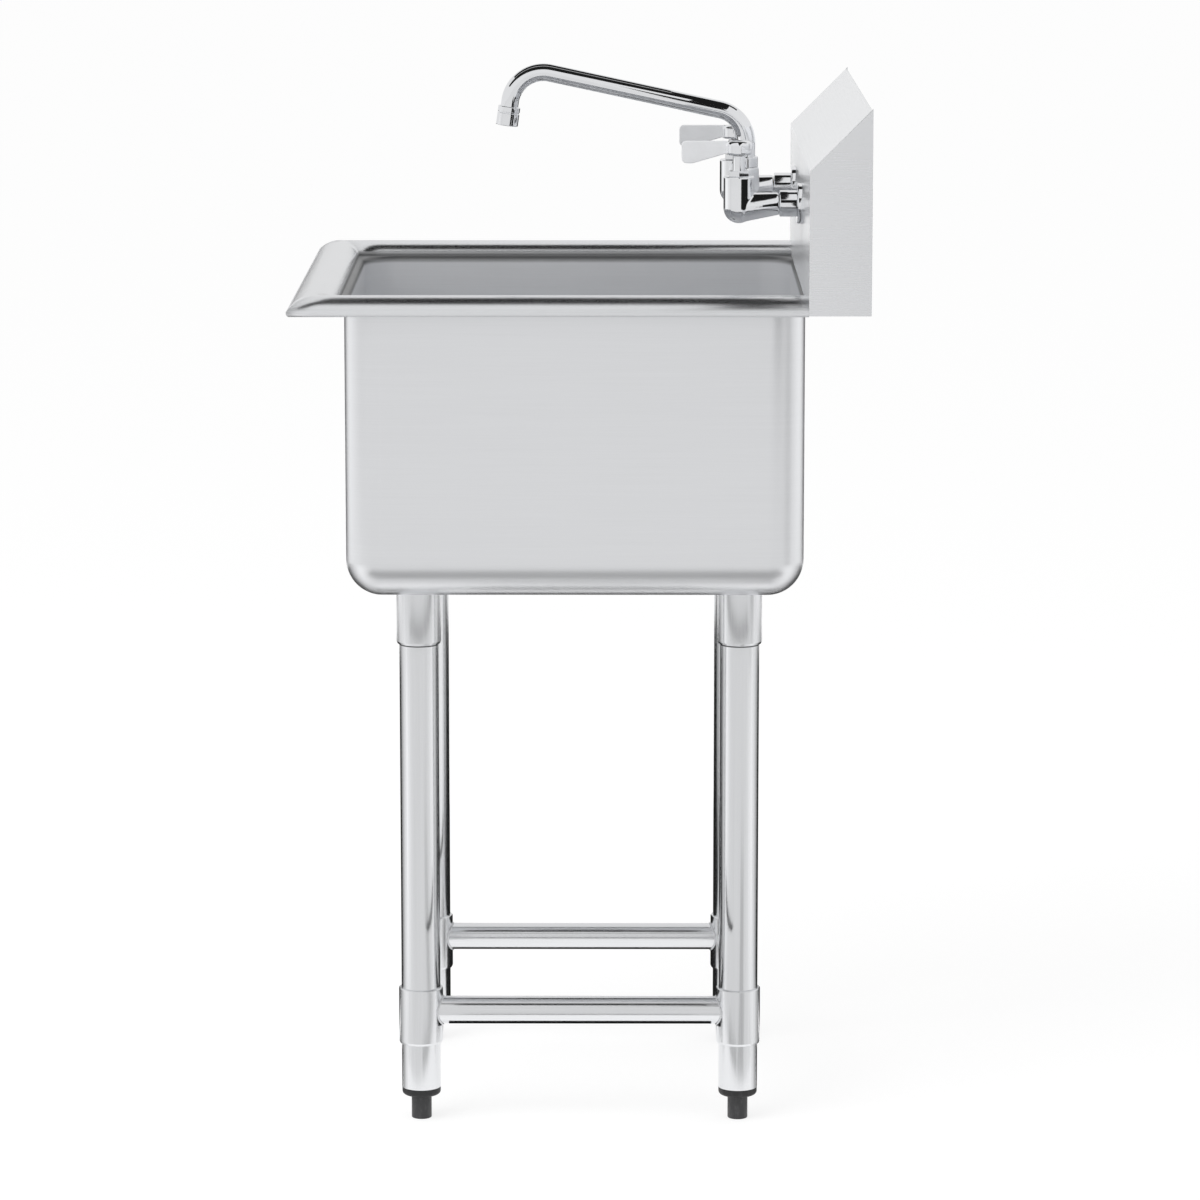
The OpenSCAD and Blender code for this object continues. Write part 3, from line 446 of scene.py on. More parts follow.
class SheetSizes(bpy.types.PropertyGroup):
    half_width: length("Half width", "Middle to the side lip", 300.0)
    half_depth: length("Half depth", "Middle to the front lip", 298.0)
    crest: length("Rim height", "Floor to the rim's crest", 896.0)
    sheet: length("Sheet", "Thickness of the sheet", 1.2)
    splash_face: length("Backsplash face", "Front face of the backsplash", 234.3)
    corner: length("Bowl corner", "Outside radius of the bowl's corners", 38.0)
    floor: length("Bowl underside", "Height of the bowl's underside", 575.0)
    rim: length("Rim width", "Lip to the bowl's wall", 54.6)
    back_gap: length("Back gap", "Bowl's wall to the backsplash", 0.6)
    bead: length("Bead", "Radius of the rim's outer bead", 38.0)
    lip: length("Lip", "Radius over which the lip turns under", 4.0)
    lip_drop: length("Lip drop", "Crest to the lip's lower edge", 19.4)
    bead_in: length("Inner bead", "Radius of the rim's inner bead", 19.0)
    ledge: length("Ledge", "Height of the flat ledge", 881.6)
    ledge_bend: length("Ledge bend", "Radius of the bend from the bowl's wall to the ledge", 5.5)
    ledge_flat: length("Ledge flat", "Flat of the ledge beyond its bend", 1.2)
    dish: length("Dish", "Radius at which the floor's dish starts", 150.0)
    dish_drop: length("Dish drop", "Depth of the dish at the drain's recess, from the floor's underside", 3.5)
    recess: length("Recess", "Radius of the drain's recess", 58.0)
    recess_drop: length("Recess drop", "Depth of the drain's recess", 4.0)
    hole: length("Hole", "Radius of the drain's hole", 45.0)
    splash_rise: length("Backsplash rise", "Rim's crest to the backsplash's top", 192.6)
    splash_drop: length("Backsplash drop", "Rim's crest to the backsplash's lower edge", 18.0)
    slope_rise: length("Slope rise", "Height of the backsplash's sloping top", 63.7)
    splash_hem: length("Rear flange", "Height of the backsplash's rear flange", 40.0)
    sheet_grey: share("Sheet grey", "Reflectance of the brushed sheet", 0.88)
    inside_grey: share("Inside grey", "Reflectance of the bowl's inside", 0.84)
    rim_grey: share("Rim grey", "Reflectance of the rim", 0.87)
    tube_grey: share("Tube grey", "Reflectance of the tubes", 0.84)
    chrome_grey: share("Chrome grey", "Reflectance of the chrome", 0.92)
    lever_grey: share("Lever grey", "Reflectance of the blades", 0.83)


def bowl_mesh(p):
    """The drawn bowl as one closed sheet: section swept round the corners, floor dished to the drain."""
    t, r, edge = p.sheet, p.corner, p.ledge_bend
    edge_in = edge - t
    top = p.ledge - p.floor
    wall_top = top - edge
    reach = r + edge_in + p.ledge_flat
    # the outside ends on the underside of the ledge, so its last arc has the smaller radius
    profile = [(0, 0)] + arc(0, r, r, -90, 0, 14)[1:] + arc(r + edge_in, wall_top, edge_in, 180, 90, 8)
    profile += [(reach, top - t), (reach, top)] + arc(r + edge_in, wall_top, edge, 90, 180, 8)
    profile += arc(0, r, r - t, 0, -90, 14)
    x_flat = p.half_width - p.rim - r
    y_front = p.rim - p.half_depth + r
    y_back = p.splash_face - p.back_gap - r
    mid = (y_front + y_back) / 2
    y_flat = (y_back - y_front) / 2
    path = []
    quarter, side = 16, 10
    around = ((1, 1), (-1, 1), (-1, -1), (1, -1))
    for number, (cx, cy) in enumerate(around):
        start = 90 * number
        for k in range(quarter + 1):
            a = math.radians(start + 90 * k / quarter)
            path.append((cx * x_flat, mid + cy * y_flat, math.cos(a), math.sin(a)))
        nx, ny = around[(number + 1) % 4]
        a = math.radians(start + 90)
        for k in range(1, side):
            f = k / side
            path.append((x_flat * (cx + (nx - cx) * f), mid + y_flat * (cy + (ny - cy) * f),
                         math.cos(a), math.sin(a)))

    def circle_ring(radius, z):
        ring = []
        for bx, by, nx, ny in path:
            v = Vector((bx + nx * 5, by + ny * 5 - mid)).normalized()
            ring.append((v.x * radius, mid + v.y * radius, p.floor + z))
        return ring

    def short_of_splash(y):
        return min(y, p.splash_face - 0.05)

    # rings from the drain hole's underside out, round the sheet and back to the hole's upper edge
    low = t - p.dish_drop
    deep = low - p.recess_drop
    rings = [circle_ring(*at) for at in ((p.hole, deep - t), (p.recess + t, deep - t), (p.recess + t, low - t),
                                         (p.dish, 0))]
    rings += [[(bx + nx * x, short_of_splash(by + ny * x), p.floor + z) for bx, by, nx, ny in path]
              for x, z in profile]
    rings += [circle_ring(*at) for at in ((p.dish, t), (p.recess, low), (p.recess, deep), (p.hole, deep))]
    verts, faces = shell([metres(ring) for ring in rings])
    # flat corners of the ledge, which square off its round corners
    row = arc(0, 0, reach, 0, 90, quarter)
    row += [(x * reach / max(x, y), y * reach / max(x, y)) for x, y in row]
    m = quarter + 1
    for cx, cy in around:
        base = len(verts)
        for z in (top - t + 0.01, top):
            verts += metres([(cx * (x_flat + x), short_of_splash(mid + cy * (y_flat + y)), p.floor + z)
                             for x, y in row])
        for k in range(quarter):
            for a, b in ((0, m), (2 * m, 3 * m), (0, 2 * m), (m, 3 * m)):
                faces.append((base + a + k, base + a + k + 1, base + b + k + 1, base + b + k))
        for k in (0, quarter):
            faces.append((base + k, base + m + k, base + 3 * m + k, base + 2 * m + k))
    return verts, faces


def rim_outline(p):
    """The rolled rim: distance in from the lip, and height from the crest."""
    t, big, lip, small, drop = p.sheet, p.bead, p.lip, p.bead_in, p.crest - p.ledge
    reach, rise = big - lip, big - p.lip_drop + lip
    u = lip + math.sqrt(reach ** 2 - rise ** 2)
    low = 180 - math.degrees(math.asin(rise / reach))
    end = p.rim - p.ledge_bend
    outside = arc(lip, lip - p.lip_drop, lip, 270, low, 10) + arc(u, -big, big, low, 90, 26)[1:]
    outside += arc(u, -small, small, 90, math.degrees(math.asin((small - drop) / small)), 16)[1:]
    inside = arc(u, -small, small - t, math.degrees(math.asin((small - drop - t) / (small - t))), 90, 16)
    inside += arc(u, -big, big - t, 90, low, 26)[1:] + arc(lip, lip - p.lip_drop, lip - t, low, 270, 10)[1:]
    return outside + [(end, -drop), (end, -drop - t)] + inside + [(8.8, t - p.lip_drop), (8.8, -p.lip_drop)]


def rim_mesh(p, which):
    w, d = p.half_width, p.half_depth
    near = (0, 1.5, 3, 5, 7, 9.5, 12, 15, 18, 22, 26, 31, 37)
    rows = []
    for u, h in rim_outline(p):
        z = p.crest + h
        if which == "front":
            row = [(-(w - u) + k, u - d, z) for k in near[:-1]] + [(0, u - d, z)]
            row += [((w - u) - k, u - d, z) for k in reversed(near[:-1])]
        else:
            s = ENDS[which]
            start, end = u - d, p.splash_face - 0.02
            row = [(s * (w - u), start + k, z) for k in near]
            row += [(s * (w - u), start + near[-1] + (end - start - near[-1]) * k / 12, z) for k in range(1, 13)]
        rows.append(row)
    return swept([metres(ring) for ring in zip(*rows)])


def round_mitres(obj, p, reach=30.0):
    """Shades a rim as if it turned the corner smoothly, as a pressed mitre does."""
    mesh = obj.data
    obj.modifiers.clear()
    normals = [corner.vector.copy() for corner in mesh.corner_normals]
    for face in mesh.polygons:
        for index in face.loop_indices:
            place = mesh.vertices[mesh.loops[index].vertex_index].co
            n = normals[index]
            side = 1 if place.x > 0 else -1
            across = p.half_width - abs(place.x) / MM
            along = place.y / MM + p.half_depth
            far = abs(across - along) / reach
            mirrored = Vector((-side * n.y, -side * n.x, n.z))
            if far < 1 and n.dot(mirrored) > -0.9:
                w = (1 - far) ** 2 * (1 + 2 * far) / 2
                normals[index] = (n * (1 - w) + mirrored * w).normalized()
    mesh.normals_split_custom_set([tuple(n) for n in normals])


def soften(obj, width, segments=2, angle=30.0):
    mod = obj.modifiers.new("softened_edges", "BEVEL")
    mod.width = width * MM
    mod.segments = segments
    mod.limit_method = "ANGLE"
    mod.angle_limit = math.radians(angle)
    mod.harden_normals = True
    obj.modifiers.move(len(obj.modifiers) - 1, 0)


class SINK_OT_sheet(bpy.types.Operator):
    """Bowl, rolled rims and folded backsplash"""
    bl_idname = "sink.sheet"
    bl_label = "Sheet metal"

    def execute(self, context):
        p = in_mm(context.scene.sink_sheet)
        slot = "stainless_sheet"
        bowl = piece("bowl_form", *bowl_mesh(p), "bowl_sheet", 38.0)
        bowl.data.materials.append(FINISHES["bowl_inside"])
        middle_y = (p.rim - p.half_depth + p.splash_face - p.back_gap) / 2
        middle = Vector((0, middle_y * MM, p.crest * MM))
        for face in bowl.data.polygons:
            face.material_index = int(face.normal.dot(middle - face.center) > 0)
        stand_for(bowl, "sink", slot, "basin")
        for which in ("front", "left", "right"):
            rim = piece("rim_%s_form" % which, *rim_mesh(p, which), "rim_sheet", 34.0)
            round_mitres(rim, p)
            stand_for(rim, "sink", slot, "rim_" + which)
        face, back, t = p.splash_face, p.half_depth, p.sheet
        top, low = p.crest + p.splash_rise, p.crest - p.splash_drop
        fold, hem = top - p.slope_rise, top - p.splash_hem
        bend = t + t * math.sqrt(2)
        outline = rounded([(face, low, 0), (face, fold, 2.2), (back, top, 1.6), (back, hem, 0), (back - t, hem, 0),
                           (back - t, top - bend, 0.4), (face + t, fold + t - t * math.sqrt(2), 1.0),
                           (face + t, low, 0)], 5)
        inner = p.half_width - t - 0.02
        panel = piece("backsplash_form", *extruded(outline, lambda a, b, c: (c - inner, a, b), 2 * inner),
                      "splash_sheet", 34.0)
        stand_for(panel, "sink", slot, "backsplash_panel")
        for name, s in ENDS.items():
            side = extruded([(face, low), (back, low), (back, top), (face, fold)],
                            lambda a, b, c: (s * (p.half_width - c), a, b), t)
            flange = extruded([(back - t, low + 0.02), (back - 0.02, low + 0.02), (back - 0.02, hem - 0.5),
                               (back - t, hem - 0.5)],
                              lambda a, b, c: (s * (p.half_width - t + 0.02 - c), a, b), 18)
            fitted("backsplash_end_" + name, joined(side, flange), "end_sheet", slot, edge=(0.35, 3))
        return {"FINISHED"}


# Legs, rails and feet

class LegSizes(bpy.types.PropertyGroup):
    across: length("Legs across", "Half the left to right leg spacing", 166.7)
    front: length("Front legs", "Front legs' place", -169.6)
    rear: length("Rear legs", "Rear legs' place", 168.4)
    tube: length("Leg radius", "Outside radius of a leg", 20.65)
    collar: length("Collar radius", "Outside radius of a collar", 23.4)
    socket: length("Socket radius", "Outside radius of a socket", 23.5)
    rail: length("Rail radius", "Outside radius of a rail", 14.75)
    rail_height: length("Rail height", "Floor to the rail's axis", 118.0)


def rail_point(p, axis, along, across, up):
    """A point near a rail, which runs across (axis 0) or fore and aft (axis 1)."""
    return (along, across, p.rail_height + up) if axis == 0 else (across, along, p.rail_height + up)


def coped_rail(p, axis, a, b, fixed):
    """A rail from leg axis a to leg axis b, coped to the collars."""
    steps, walls = 96, []
    for radius in (p.rail, p.rail - 1.2):
        start, end = [], []
        for k in range(steps):
            turn = 2 * math.pi * k / steps
            side, up = radius * math.cos(turn), radius * math.sin(turn)
            cope = math.sqrt(p.collar ** 2 - side ** 2) - 0.1
            start.append(rail_point(p, axis, a + cope, fixed + side, up))
            end.append(rail_point(p, axis, b - cope, fixed + side, up))
        walls.append((start, end))
    outside, (start, end) = walls
    rings = [[tuple(x + (y - x) * k / 6 for x, y in zip(one, two)) for one, two in zip(*ends)]
             for ends in (outside, (end, start)) for k in range(7)]
    return shell([metres(ring) for ring in rings])


def cope_loop(p, axis, at, toward, fixed, lift):
    """The line where a rail meets its collar, a little proud of both."""
    loop = []
    for k in range(72):
        turn = 2 * math.pi * k / 72
        side, up = (p.rail + lift) * math.cos(turn), (p.rail + lift) * math.sin(turn)
        far = at + toward * (math.sqrt(p.collar ** 2 - side ** 2) + lift)
        loop.append(rail_point(p, axis, far, fixed + side, up))
    return loop


def weld_tree(finish):
    """Geometry nodes that lay a row of overlapping beads along closed lines."""
    tree = bpy.data.node_groups.new("weld_beads", "GeometryNodeTree")
    tree.interface.new_socket("Geometry", in_out="INPUT", socket_type="NodeSocketGeometry")
    sizes = {}
    for label, default in (("Bead Radius", 1.4 * MM), ("Bead Spacing", 1.3 * MM)):
        socket = tree.interface.new_socket(label, in_out="INPUT", socket_type="NodeSocketFloat")
        socket.default_value = default
        sizes[label] = socket.identifier
    tree.interface.new_socket("Geometry", in_out="OUTPUT", socket_type="NodeSocketGeometry")
    nodes = {name: tree.nodes.new(kind) for name, kind in (
        ("given", "NodeGroupInput"), ("lines", "GeometryNodeMeshToCurve"), ("spaced", "GeometryNodeResampleCurve"),
        ("bead", "GeometryNodeMeshIcoSphere"), ("laid", "GeometryNodeInstanceOnPoints"),
        ("real", "GeometryNodeRealizeInstances"), ("smooth", "GeometryNodeSetShadeSmooth"),
        ("dress", "GeometryNodeSetMaterial"), ("result", "NodeGroupOutput"))}
    nodes["spaced"].mode = "LENGTH"
    nodes["bead"].inputs["Subdivisions"].default_value = 2
    nodes["dress"].inputs["Material"].default_value = FINISHES[finish]
    for source, out, target, into in (
            ("given", "Geometry", "lines", "Mesh"), ("lines", "Curve", "spaced", "Curve"),
            ("given", "Bead Spacing", "spaced", "Length"), ("given", "Bead Radius", "bead", "Radius"),
            ("spaced", "Curve", "laid", "Points"), ("bead", "Mesh", "laid", "Instance"),
            ("laid", "Instances", "real", "Geometry"), ("real", "Geometry", "smooth", "Geometry"),
            ("smooth", "Geometry", "dress", "Geometry"), ("dress", "Geometry", "result", "Geometry")):
        tree.links.new(nodes[source].outputs[out], nodes[target].inputs[into])
    return tree, sizes


def bead_rows(name, loops, radius, spacing):
    """Closed lines turned into rows of weld beads, as one plain mesh."""
    verts, edges = [], []
    for loop in loops:
        base = len(verts)
        verts += metres(loop)
        edges += [(base + k, base + (k + 1) % len(loop)) for k in range(len(loop))]
    mesh = bpy.data.meshes.new(name + "_lines")
    mesh.from_pydata(verts, edges, [])
    source = link(bpy.data.objects.new(name + "_lines", mesh))
    tree, sizes = weld_tree("weld")
    mod = source.modifiers.new("beads", "NODES")
    mod.node_group = tree
    mod[sizes["Bead Radius"]] = radius * MM
    mod[sizes["Bead Spacing"]] = spacing * MM
    bpy.context.view_layer.update()
    evaluated = source.evaluated_get(bpy.context.evaluated_depsgraph_get())
    made = bpy.data.meshes.new_from_object(evaluated)
    made.name = name
    source.modifiers.remove(mod)
    bpy.data.objects.remove(source)
    if not made.materials:
        made.materials.append(FINISHES["weld"])
    return link(bpy.data.objects.new(name, made))


class SINK_OT_legs(bpy.types.Operator):
    """Legs, sockets, collars, rails, plugs, feet and their welds"""
    bl_idname = "sink.legs"
    bl_label = "Legs and rails"

    def execute(self, context):
        p = in_mm(context.scene.sink_legs)
        tube_slot = "stainless_tube"
        lines = []
        for corner, (sx, sy) in CORNERS.items():
            x, y = sx * p.across, p.front if sy < 0 else p.rear

            def fit(kind, profile, finish, slot, body="sink"):
                fitted(kind + corner, turned(profile, (x, y, 0)), finish, slot, body)

            low, high = (end.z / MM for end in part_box("leg_" + corner))
            fit("leg_", rounded([(p.tube - 1.2, low, 0.3), (p.tube, low, 0.5), (p.tube, high, 0.2),
                                 (p.tube - 1.2, high, 0.2)], 4), "tube_upright", tube_slot)
            for kind, radius, top in (("leg_socket_", p.socket, 0.2), ("rail_collar_", p.collar, 1.3)):
                low, high = (end.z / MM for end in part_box(kind + corner))
                inner = p.tube + 0.1
                fit(kind, rounded([(inner, low, 0.3), (radius - 1, low, 0.6), (radius, low + 2.5, 1.4),
                                   (radius, high, top), (inner, high, 0.3)], 5), "sleeve_upright", tube_slot)
            fit("foot_plug_", rounded([(5.2, 25.8, 0.2), (p.tube - 0.1, 25.8, 4.9), (p.tube - 0.1, 34.0, 0.4),
                                       (p.tube - 1.3, 34.0, 0.1), (p.tube - 1.3, 64.0, 1.0), (5.2, 64.0, 0.4)], 8),
                "plug_plastic", "plug_plastic")
            fit("foot_", [(0.01, 0)] + rounded([(0.01, 0, 0), (10.7, 0, 1.1), (10.7, 25.5, 0.7), (5.0, 25.5, 0.1),
                                                (5.0, 61.5, 1.0), (0.01, 61.5, 0)], 5),
                "foot_plastic", "foot_plastic", corner + "_foot")
            lines.append(cope_loop(p, 1, y, -sy, x, 0.25))
            if sy > 0:
                lines.append(cope_loop(p, 0, x, -sx, y, 0.25))
            lines.append([(a, b, 572.4) for a, b in arc(x, y, p.socket + 0.2, 0, 355, 71)])
        for node, finish, *rail in (("side_rail_left", "tube_fore_aft", 1, p.front, p.rear, -p.across),
                                    ("side_rail_right", "tube_fore_aft", 1, p.front, p.rear, p.across),
                                    ("rear_rail", "tube_across", 0, -p.across, p.across, p.rear)):
            fitted(node, coped_rail(p, *rail), finish, tube_slot)
        stand_for(bead_rows("weld_beads", lines, 1.1, 1.1), "sink", tube_slot)
        return {"FINISHED"}


# Faucet

class FaucetSizes(bpy.types.PropertyGroup):
    valve_x: length("Inlet", "Half the inlet spacing", 101.6)
    valve_y: length("Valve axis", "Valves' place", 166.9)
    post_y: length("Post axis", "Spout post's place", 177.0)
    inlet_z: length("Inlet height", "Height of the inlets' axis", 973.8)
    cup_z: length("Cup centre", "Height of the centre of the cups' round bottoms", 969.2)
    cup_r: length("Cup radius", "Outside radius of the valve cups", 16.2)
    cup_top: length("Cup top", "Height of the valve cups' top", 1002.6)
    spout_r: length("Spout radius", "Outside radius of the spout", 9.5)
    bend: length("Bend", "Radius of the spout's bends", 36.0)
    reach: length("Reach", "Post to nozzle", 252.3)
    riser: length("Riser", "Spout nut to the first bend", 14.4)
    slope: bpy.props.FloatProperty(name="Slope", description="Rise of the spout's run", default=math.radians(12.1),
                                   subtype="ANGLE", unit="ROTATION")
    arm_end: length("Arm end", "Place of the inlet arms' ends", 209.6)
    flange: length("Flange", "Place of the wall flanges' front faces", 228.1)
    wall: length("Wall", "Place of the wall flanges' rear faces", 234.25)


def remeshed(name, parts, voxel, rounds, finish):
    """Overlapping solids grown together into one casting with soft inside corners."""
    source = link(bpy.data.objects.new(name + "_parts", closed_mesh(name, *joined(*parts), spare=False)))
    grow = source.modifiers.new("grown", "REMESH")
    grow.mode = "VOXEL"
    grow.voxel_size = voxel * MM
    ease = source.modifiers.new("eased", "SMOOTH")
    ease.factor = 0.5
    ease.iterations = rounds
    bpy.context.view_layer.update()
    made = bpy.data.meshes.new_from_object(source.evaluated_get(bpy.context.evaluated_depsgraph_get()))
    made.name = name
    bpy.data.objects.remove(source)
    made.shade_smooth()
    obj = link(bpy.data.objects.new(name, made))
    coat(obj, FINISHES[finish])
    return obj


def ring_on(centre, across, up, radius, count=48):
    return [tuple((centre + across * (radius * math.cos(2 * math.pi * k / count))
                   + up * (radius * math.sin(2 * math.pi * k / count))) * MM) for k in range(count)]


def spout_path(p, low, tail):
    """Centre line of the spout as (point, direction), bottom to nozzle."""
    slope, lean, r = p.slope, math.radians(8.0), p.bend
    riser_top = p.cup_top + 0.5 + 11.6 + p.riser
    points = [(Vector((0, p.post_y, z)), Vector((0, 0, 1))) for z in (low, (low + riser_top) / 2)]

    def bend(centre, start, end, steps):
        for k in range(steps + 1):
            a = start + (end - start) * k / steps
            points.append((centre + Vector((0, math.cos(a), math.sin(a))) * r,
                           Vector((0, -math.sin(a), math.cos(a)))))

    turn = math.pi / 2 - slope
    bend(Vector((0, p.post_y - r, riser_top)), 0, turn, 24)
    along = Vector((0, -math.cos(slope), math.sin(slope)))
    run = (p.reach - r * (1 + math.cos(lean))) / math.cos(slope)
    start = points[-1][0]
    for k in range(1, 9):
        points.append((start + along * (run * k / 9), along))
    bend(start + along * run - Vector((0, math.cos(turn), math.sin(turn))) * r, turn, math.pi - lean, 28)
    nozzle, down = points[-1]
    points.append((nozzle + down * tail, down))
    return points, nozzle, down


def spout_mesh(p):
    """The bent tube as one closed shell, with a small mouth inside the aerator."""
    points, nozzle, down = spout_path(p, p.inlet_z + 7.5, 12.0)
    side = Vector((1, 0, 0))
    outer = [ring_on(c, side, side.cross(d), p.spout_r) for c, d in points]
    inner = [ring_on(c, side, side.cross(d), p.spout_r - 1.2) for c, d in reversed(points)]
    ring = turned([(9.45, 0), (11.0, 0), (11.0, 3), (9.45, 3)], (0, p.post_y, p.cup_top + 0.5 - 3.3))
    return joined(shell(outer + inner), ring), nozzle, down


def lever_mesh(p, s, hub_low):
    """Hub with soft edges and a flat blade with a round end, pointing to the front."""
    x, y = s * p.valve_x, p.valve_y
    hub = rounded([(0.01, 0.4, 0), (13.6, 0.4, 3.0), (13.6, 15.2, 5.0), (4.3, 15.2, 0.4), (4.3, 12.9, 0.2),
                   (0.01, 12.9, 0)], 6)
    hub_part = turned([(r, h + hub_low) for r, h in hub], (x, y, 0), segments=80)
    tip, root = 60.2, 8.0
    outline = rounded([(-root, 15.2, 0), (-root, 2.0, 0), (-13.6, 2.0, 0), (-tip + 11.2, -8.3, 9),
                       (-tip, -8.0, 9.2), (-tip, 15.2, 5.0)], 9)
    blade = extruded([(y + a, hub_low + b) for a, b in outline], lambda a, b, c: (x - 2.5 + c, a, b), 5.0)
    return hub_part, blade


class SINK_OT_faucet(bpy.types.Operator):
    """Casting, inlets, bonnets, levers, swivel spout and aerator"""
    bl_idname = "sink.faucet"
    bl_label = "Faucet"

    def execute(self, context):
        p = in_mm(context.scene.sink_faucet)
        post_top = p.cup_top + 0.5
        parts = []
        for s in SIDES.values():
            x = s * p.valve_x
            cup = [(0.01, p.cup_z - p.cup_r)]
            cup += [(max(0.01, a), b) for a, b in arc(0, p.cup_z, p.cup_r, -90, 0, 18)]
            cup += [(p.cup_r, p.cup_top), (0.01, p.cup_top)]
            parts.append(turned(cup, (x, p.valve_y, 0), segments=96))
            axis = Vector((0, p.arm_end - p.valve_y, p.inlet_z - p.cup_z))
            arm = [(0.01, 0), (15.6, 0), (11.5, axis.length), (0.01, axis.length)]
            parts.append(turned(arm, (x, p.valve_y, p.cup_z), axis, 96))
        bridge = [(0.01, 0), (10.5, 0), (10.5, 2 * p.valve_x), (0.01, 2 * p.valve_x)]
        parts.append(turned(bridge, (-p.valve_x, (p.valve_y + p.post_y) / 2, p.inlet_z + 18.3), (1, 0, 0), 96))
        post = rounded([(0.01, 975.3, 0), (14.7, 975.3, 3.0), (13.4, post_top, 0), (0.01, post_top, 0)], 8)
        parts.append(turned(post, (0, p.post_y, 0), segments=96))
        casting = remeshed("faucet_casting", parts, 0.75, 10, "chrome")
        stand_for(casting, "sink", "polished_chrome", "faucet_body")

        def chromed(node, mesh, body="sink", crease=30.0, edge=None, finish="chrome"):
            fitted(node, mesh, finish, "polished_chrome", body, crease, edge)

        for name, s in SIDES.items():
            x = s * p.valve_x
            for kind, outline in (
                    ("wall_flange_", [(10.9, p.flange, 0), (21.2, p.flange, 1.4), (21.2, p.wall, 0.2),
                                      (10.9, p.wall, 0)]),
                    ("inlet_nut_", [(10.9, p.arm_end, 0.2), (13.8, p.arm_end, 1.1), (13.8, p.flange, 0.5),
                                    (10.9, p.flange, 0)])):
                chromed(kind + name, turned(rounded(outline, 5), (x, 0, p.inlet_z), (0, 1, 0), 96))
            hexagon = extruded(arc(x, p.valve_y, 12, 0, 300, 5), lambda a, b, c: (a, b, p.cup_top + c), 5.5)
            column = rounded([(3.7, p.cup_top - 6, 0), (8.9, p.cup_top - 6, 0.2), (8.9, p.cup_top, 0),
                              (6.5, p.cup_top, 0), (6.5, p.cup_top + 21.4, 0.5), (3.7, p.cup_top + 21.4, 0.2)], 4)
            chromed("bonnet_" + name, joined(hexagon, turned(column, (x, p.valve_y, 0))), edge=(0.35, 3, 40))
            hub_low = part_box("lever_" + name)[1].z / MM - 15.2
            chromed("lever_" + name, joined(*lever_mesh(p, s, hub_low)), name + "_lever", edge=(0.7, 3, 50),
                    finish="lever_satin")
        spout, nozzle, down = spout_mesh(p)
        chromed("spout", spout, "spout_arm", 40.0)
        nut = rounded([(9.8, post_top, 0.2), (12.6, post_top, 0.4), (12.6, post_top + 11.6, 1.6),
                       (9.8, post_top + 11.6, 0.3)], 6)
        chromed("spout_nut", turned(nut, (0, p.post_y, 0), segments=96))
        tip = rounded([(9.6, 0, 0.2), (11.9, 0, 0.9), (11.9, 5.6, 0.3), (11.3, 6.1, 0.2), (11.3, 7.0, 0.2),
                       (11.9, 7.5, 0.3), (11.9, 20.4, 0.8), (8.6, 20.4, 0.5), (8.6, 9.0, 0.1), (9.6, 9.0, 0.1)], 4)
        chromed("aerator", turned(tip, nozzle + down * 5.2, down, 96), "spout_arm")
        return {"FINISHED"}


# Parts that keep their solids

KEPT = {
    "leg_plates": "sleeve_upright", "socket_set_screws": "screw_zinc", "collar_set_screws": "screw_zinc",
    "drain_body": "drain_steel", "drain_gasket": "rubber", "drain_washer": "fibre",
    "drain_lock_nut": "drain_steel", "strainer_basket": "drain_steel", "spout_o_ring": "rubber",
    "aerator_screen": "screen_plastic",
}
KEPT.update({name + side: finish for side in SIDES for name, finish in (
    ("inlet_shank_", "brass_shank"), ("shank_lock_nut_", "brass_plain"), ("valve_stem_", "brass_plain"),
    ("lever_screw_", "chrome"))})


class SINK_OT_finishes(bpy.types.Operator):
    """All finishes, and the solids that are shown as they come"""
    bl_idname = "sink.finishes"
    bl_label = "Finishes"

    def execute(self, context):
        make_finishes(in_mm(context.scene.sink_sheet))
        for name, finish in KEPT.items():
            coat(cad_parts[name], FINISHES[finish])
        return {"FINISHED"}


# Studio

class StudioSizes(bpy.types.PropertyGroup):
    white: bpy.props.FloatProperty(name="Light level", description="Light on the object from all round",
                                   default=0.92, min=0)
    key: bpy.props.FloatProperty(name="Key lamp", description="Power of the soft lamp overhead, W", default=50.0,
                                 min=0)
    front_grey: share("Front", "Level of the grey card at the camera's side", 0.75)
    flag_grey: share("Flags", "Reflectance of the dark cards round the set", 0.012)


def card(name, grey, corners, one_sided=False):
    """A card that polished metal reflects, and that takes no other part in the light."""
    f = Finish(name)
    sheet = f.node("ShaderNodeEmission", None, {"Color": (grey, grey, grey, 1), "Strength": 1.0})
    if one_sided:
        back = f.node("ShaderNodeNewGeometry", out="Backfacing")
        sheet = f.node("ShaderNodeMixShader", None, {0: back, 1: sheet, 2: f.node("ShaderNodeBsdfTransparent")})
    sheet.ends()
    mesh = bpy.data.meshes.new(name)
    mesh.from_pydata(corners, [], [(0, 1, 2, 3)])
    mesh.materials.append(f.material)
    obj = link(bpy.data.objects.new(name, mesh))
    for ray in ("camera", "diffuse", "transmission", "volume_scatter", "shadow"):
        setattr(obj, "visible_" + ray, False)
    return obj


def fan(start, end, apex, far, low, high):
    """Corners of an upright card, and of one on the ground before it, between two azimuths from a place."""
    near = 0.55 if apex[0] < 0 else 0.06
    one, two = ((math.cos(math.radians(a)), math.sin(math.radians(a))) for a in (start, end))

    def at(edge, r, z):
        return (apex[0] + r * edge[0], apex[1] + r * edge[1], z)

    return ([at(one, far, low), at(two, far, low), at(two, far, high), at(one, far, high)],
            [at(one, near, GROUND), at(one, far, GROUND), at(two, far, GROUND), at(two, near, GROUND)])


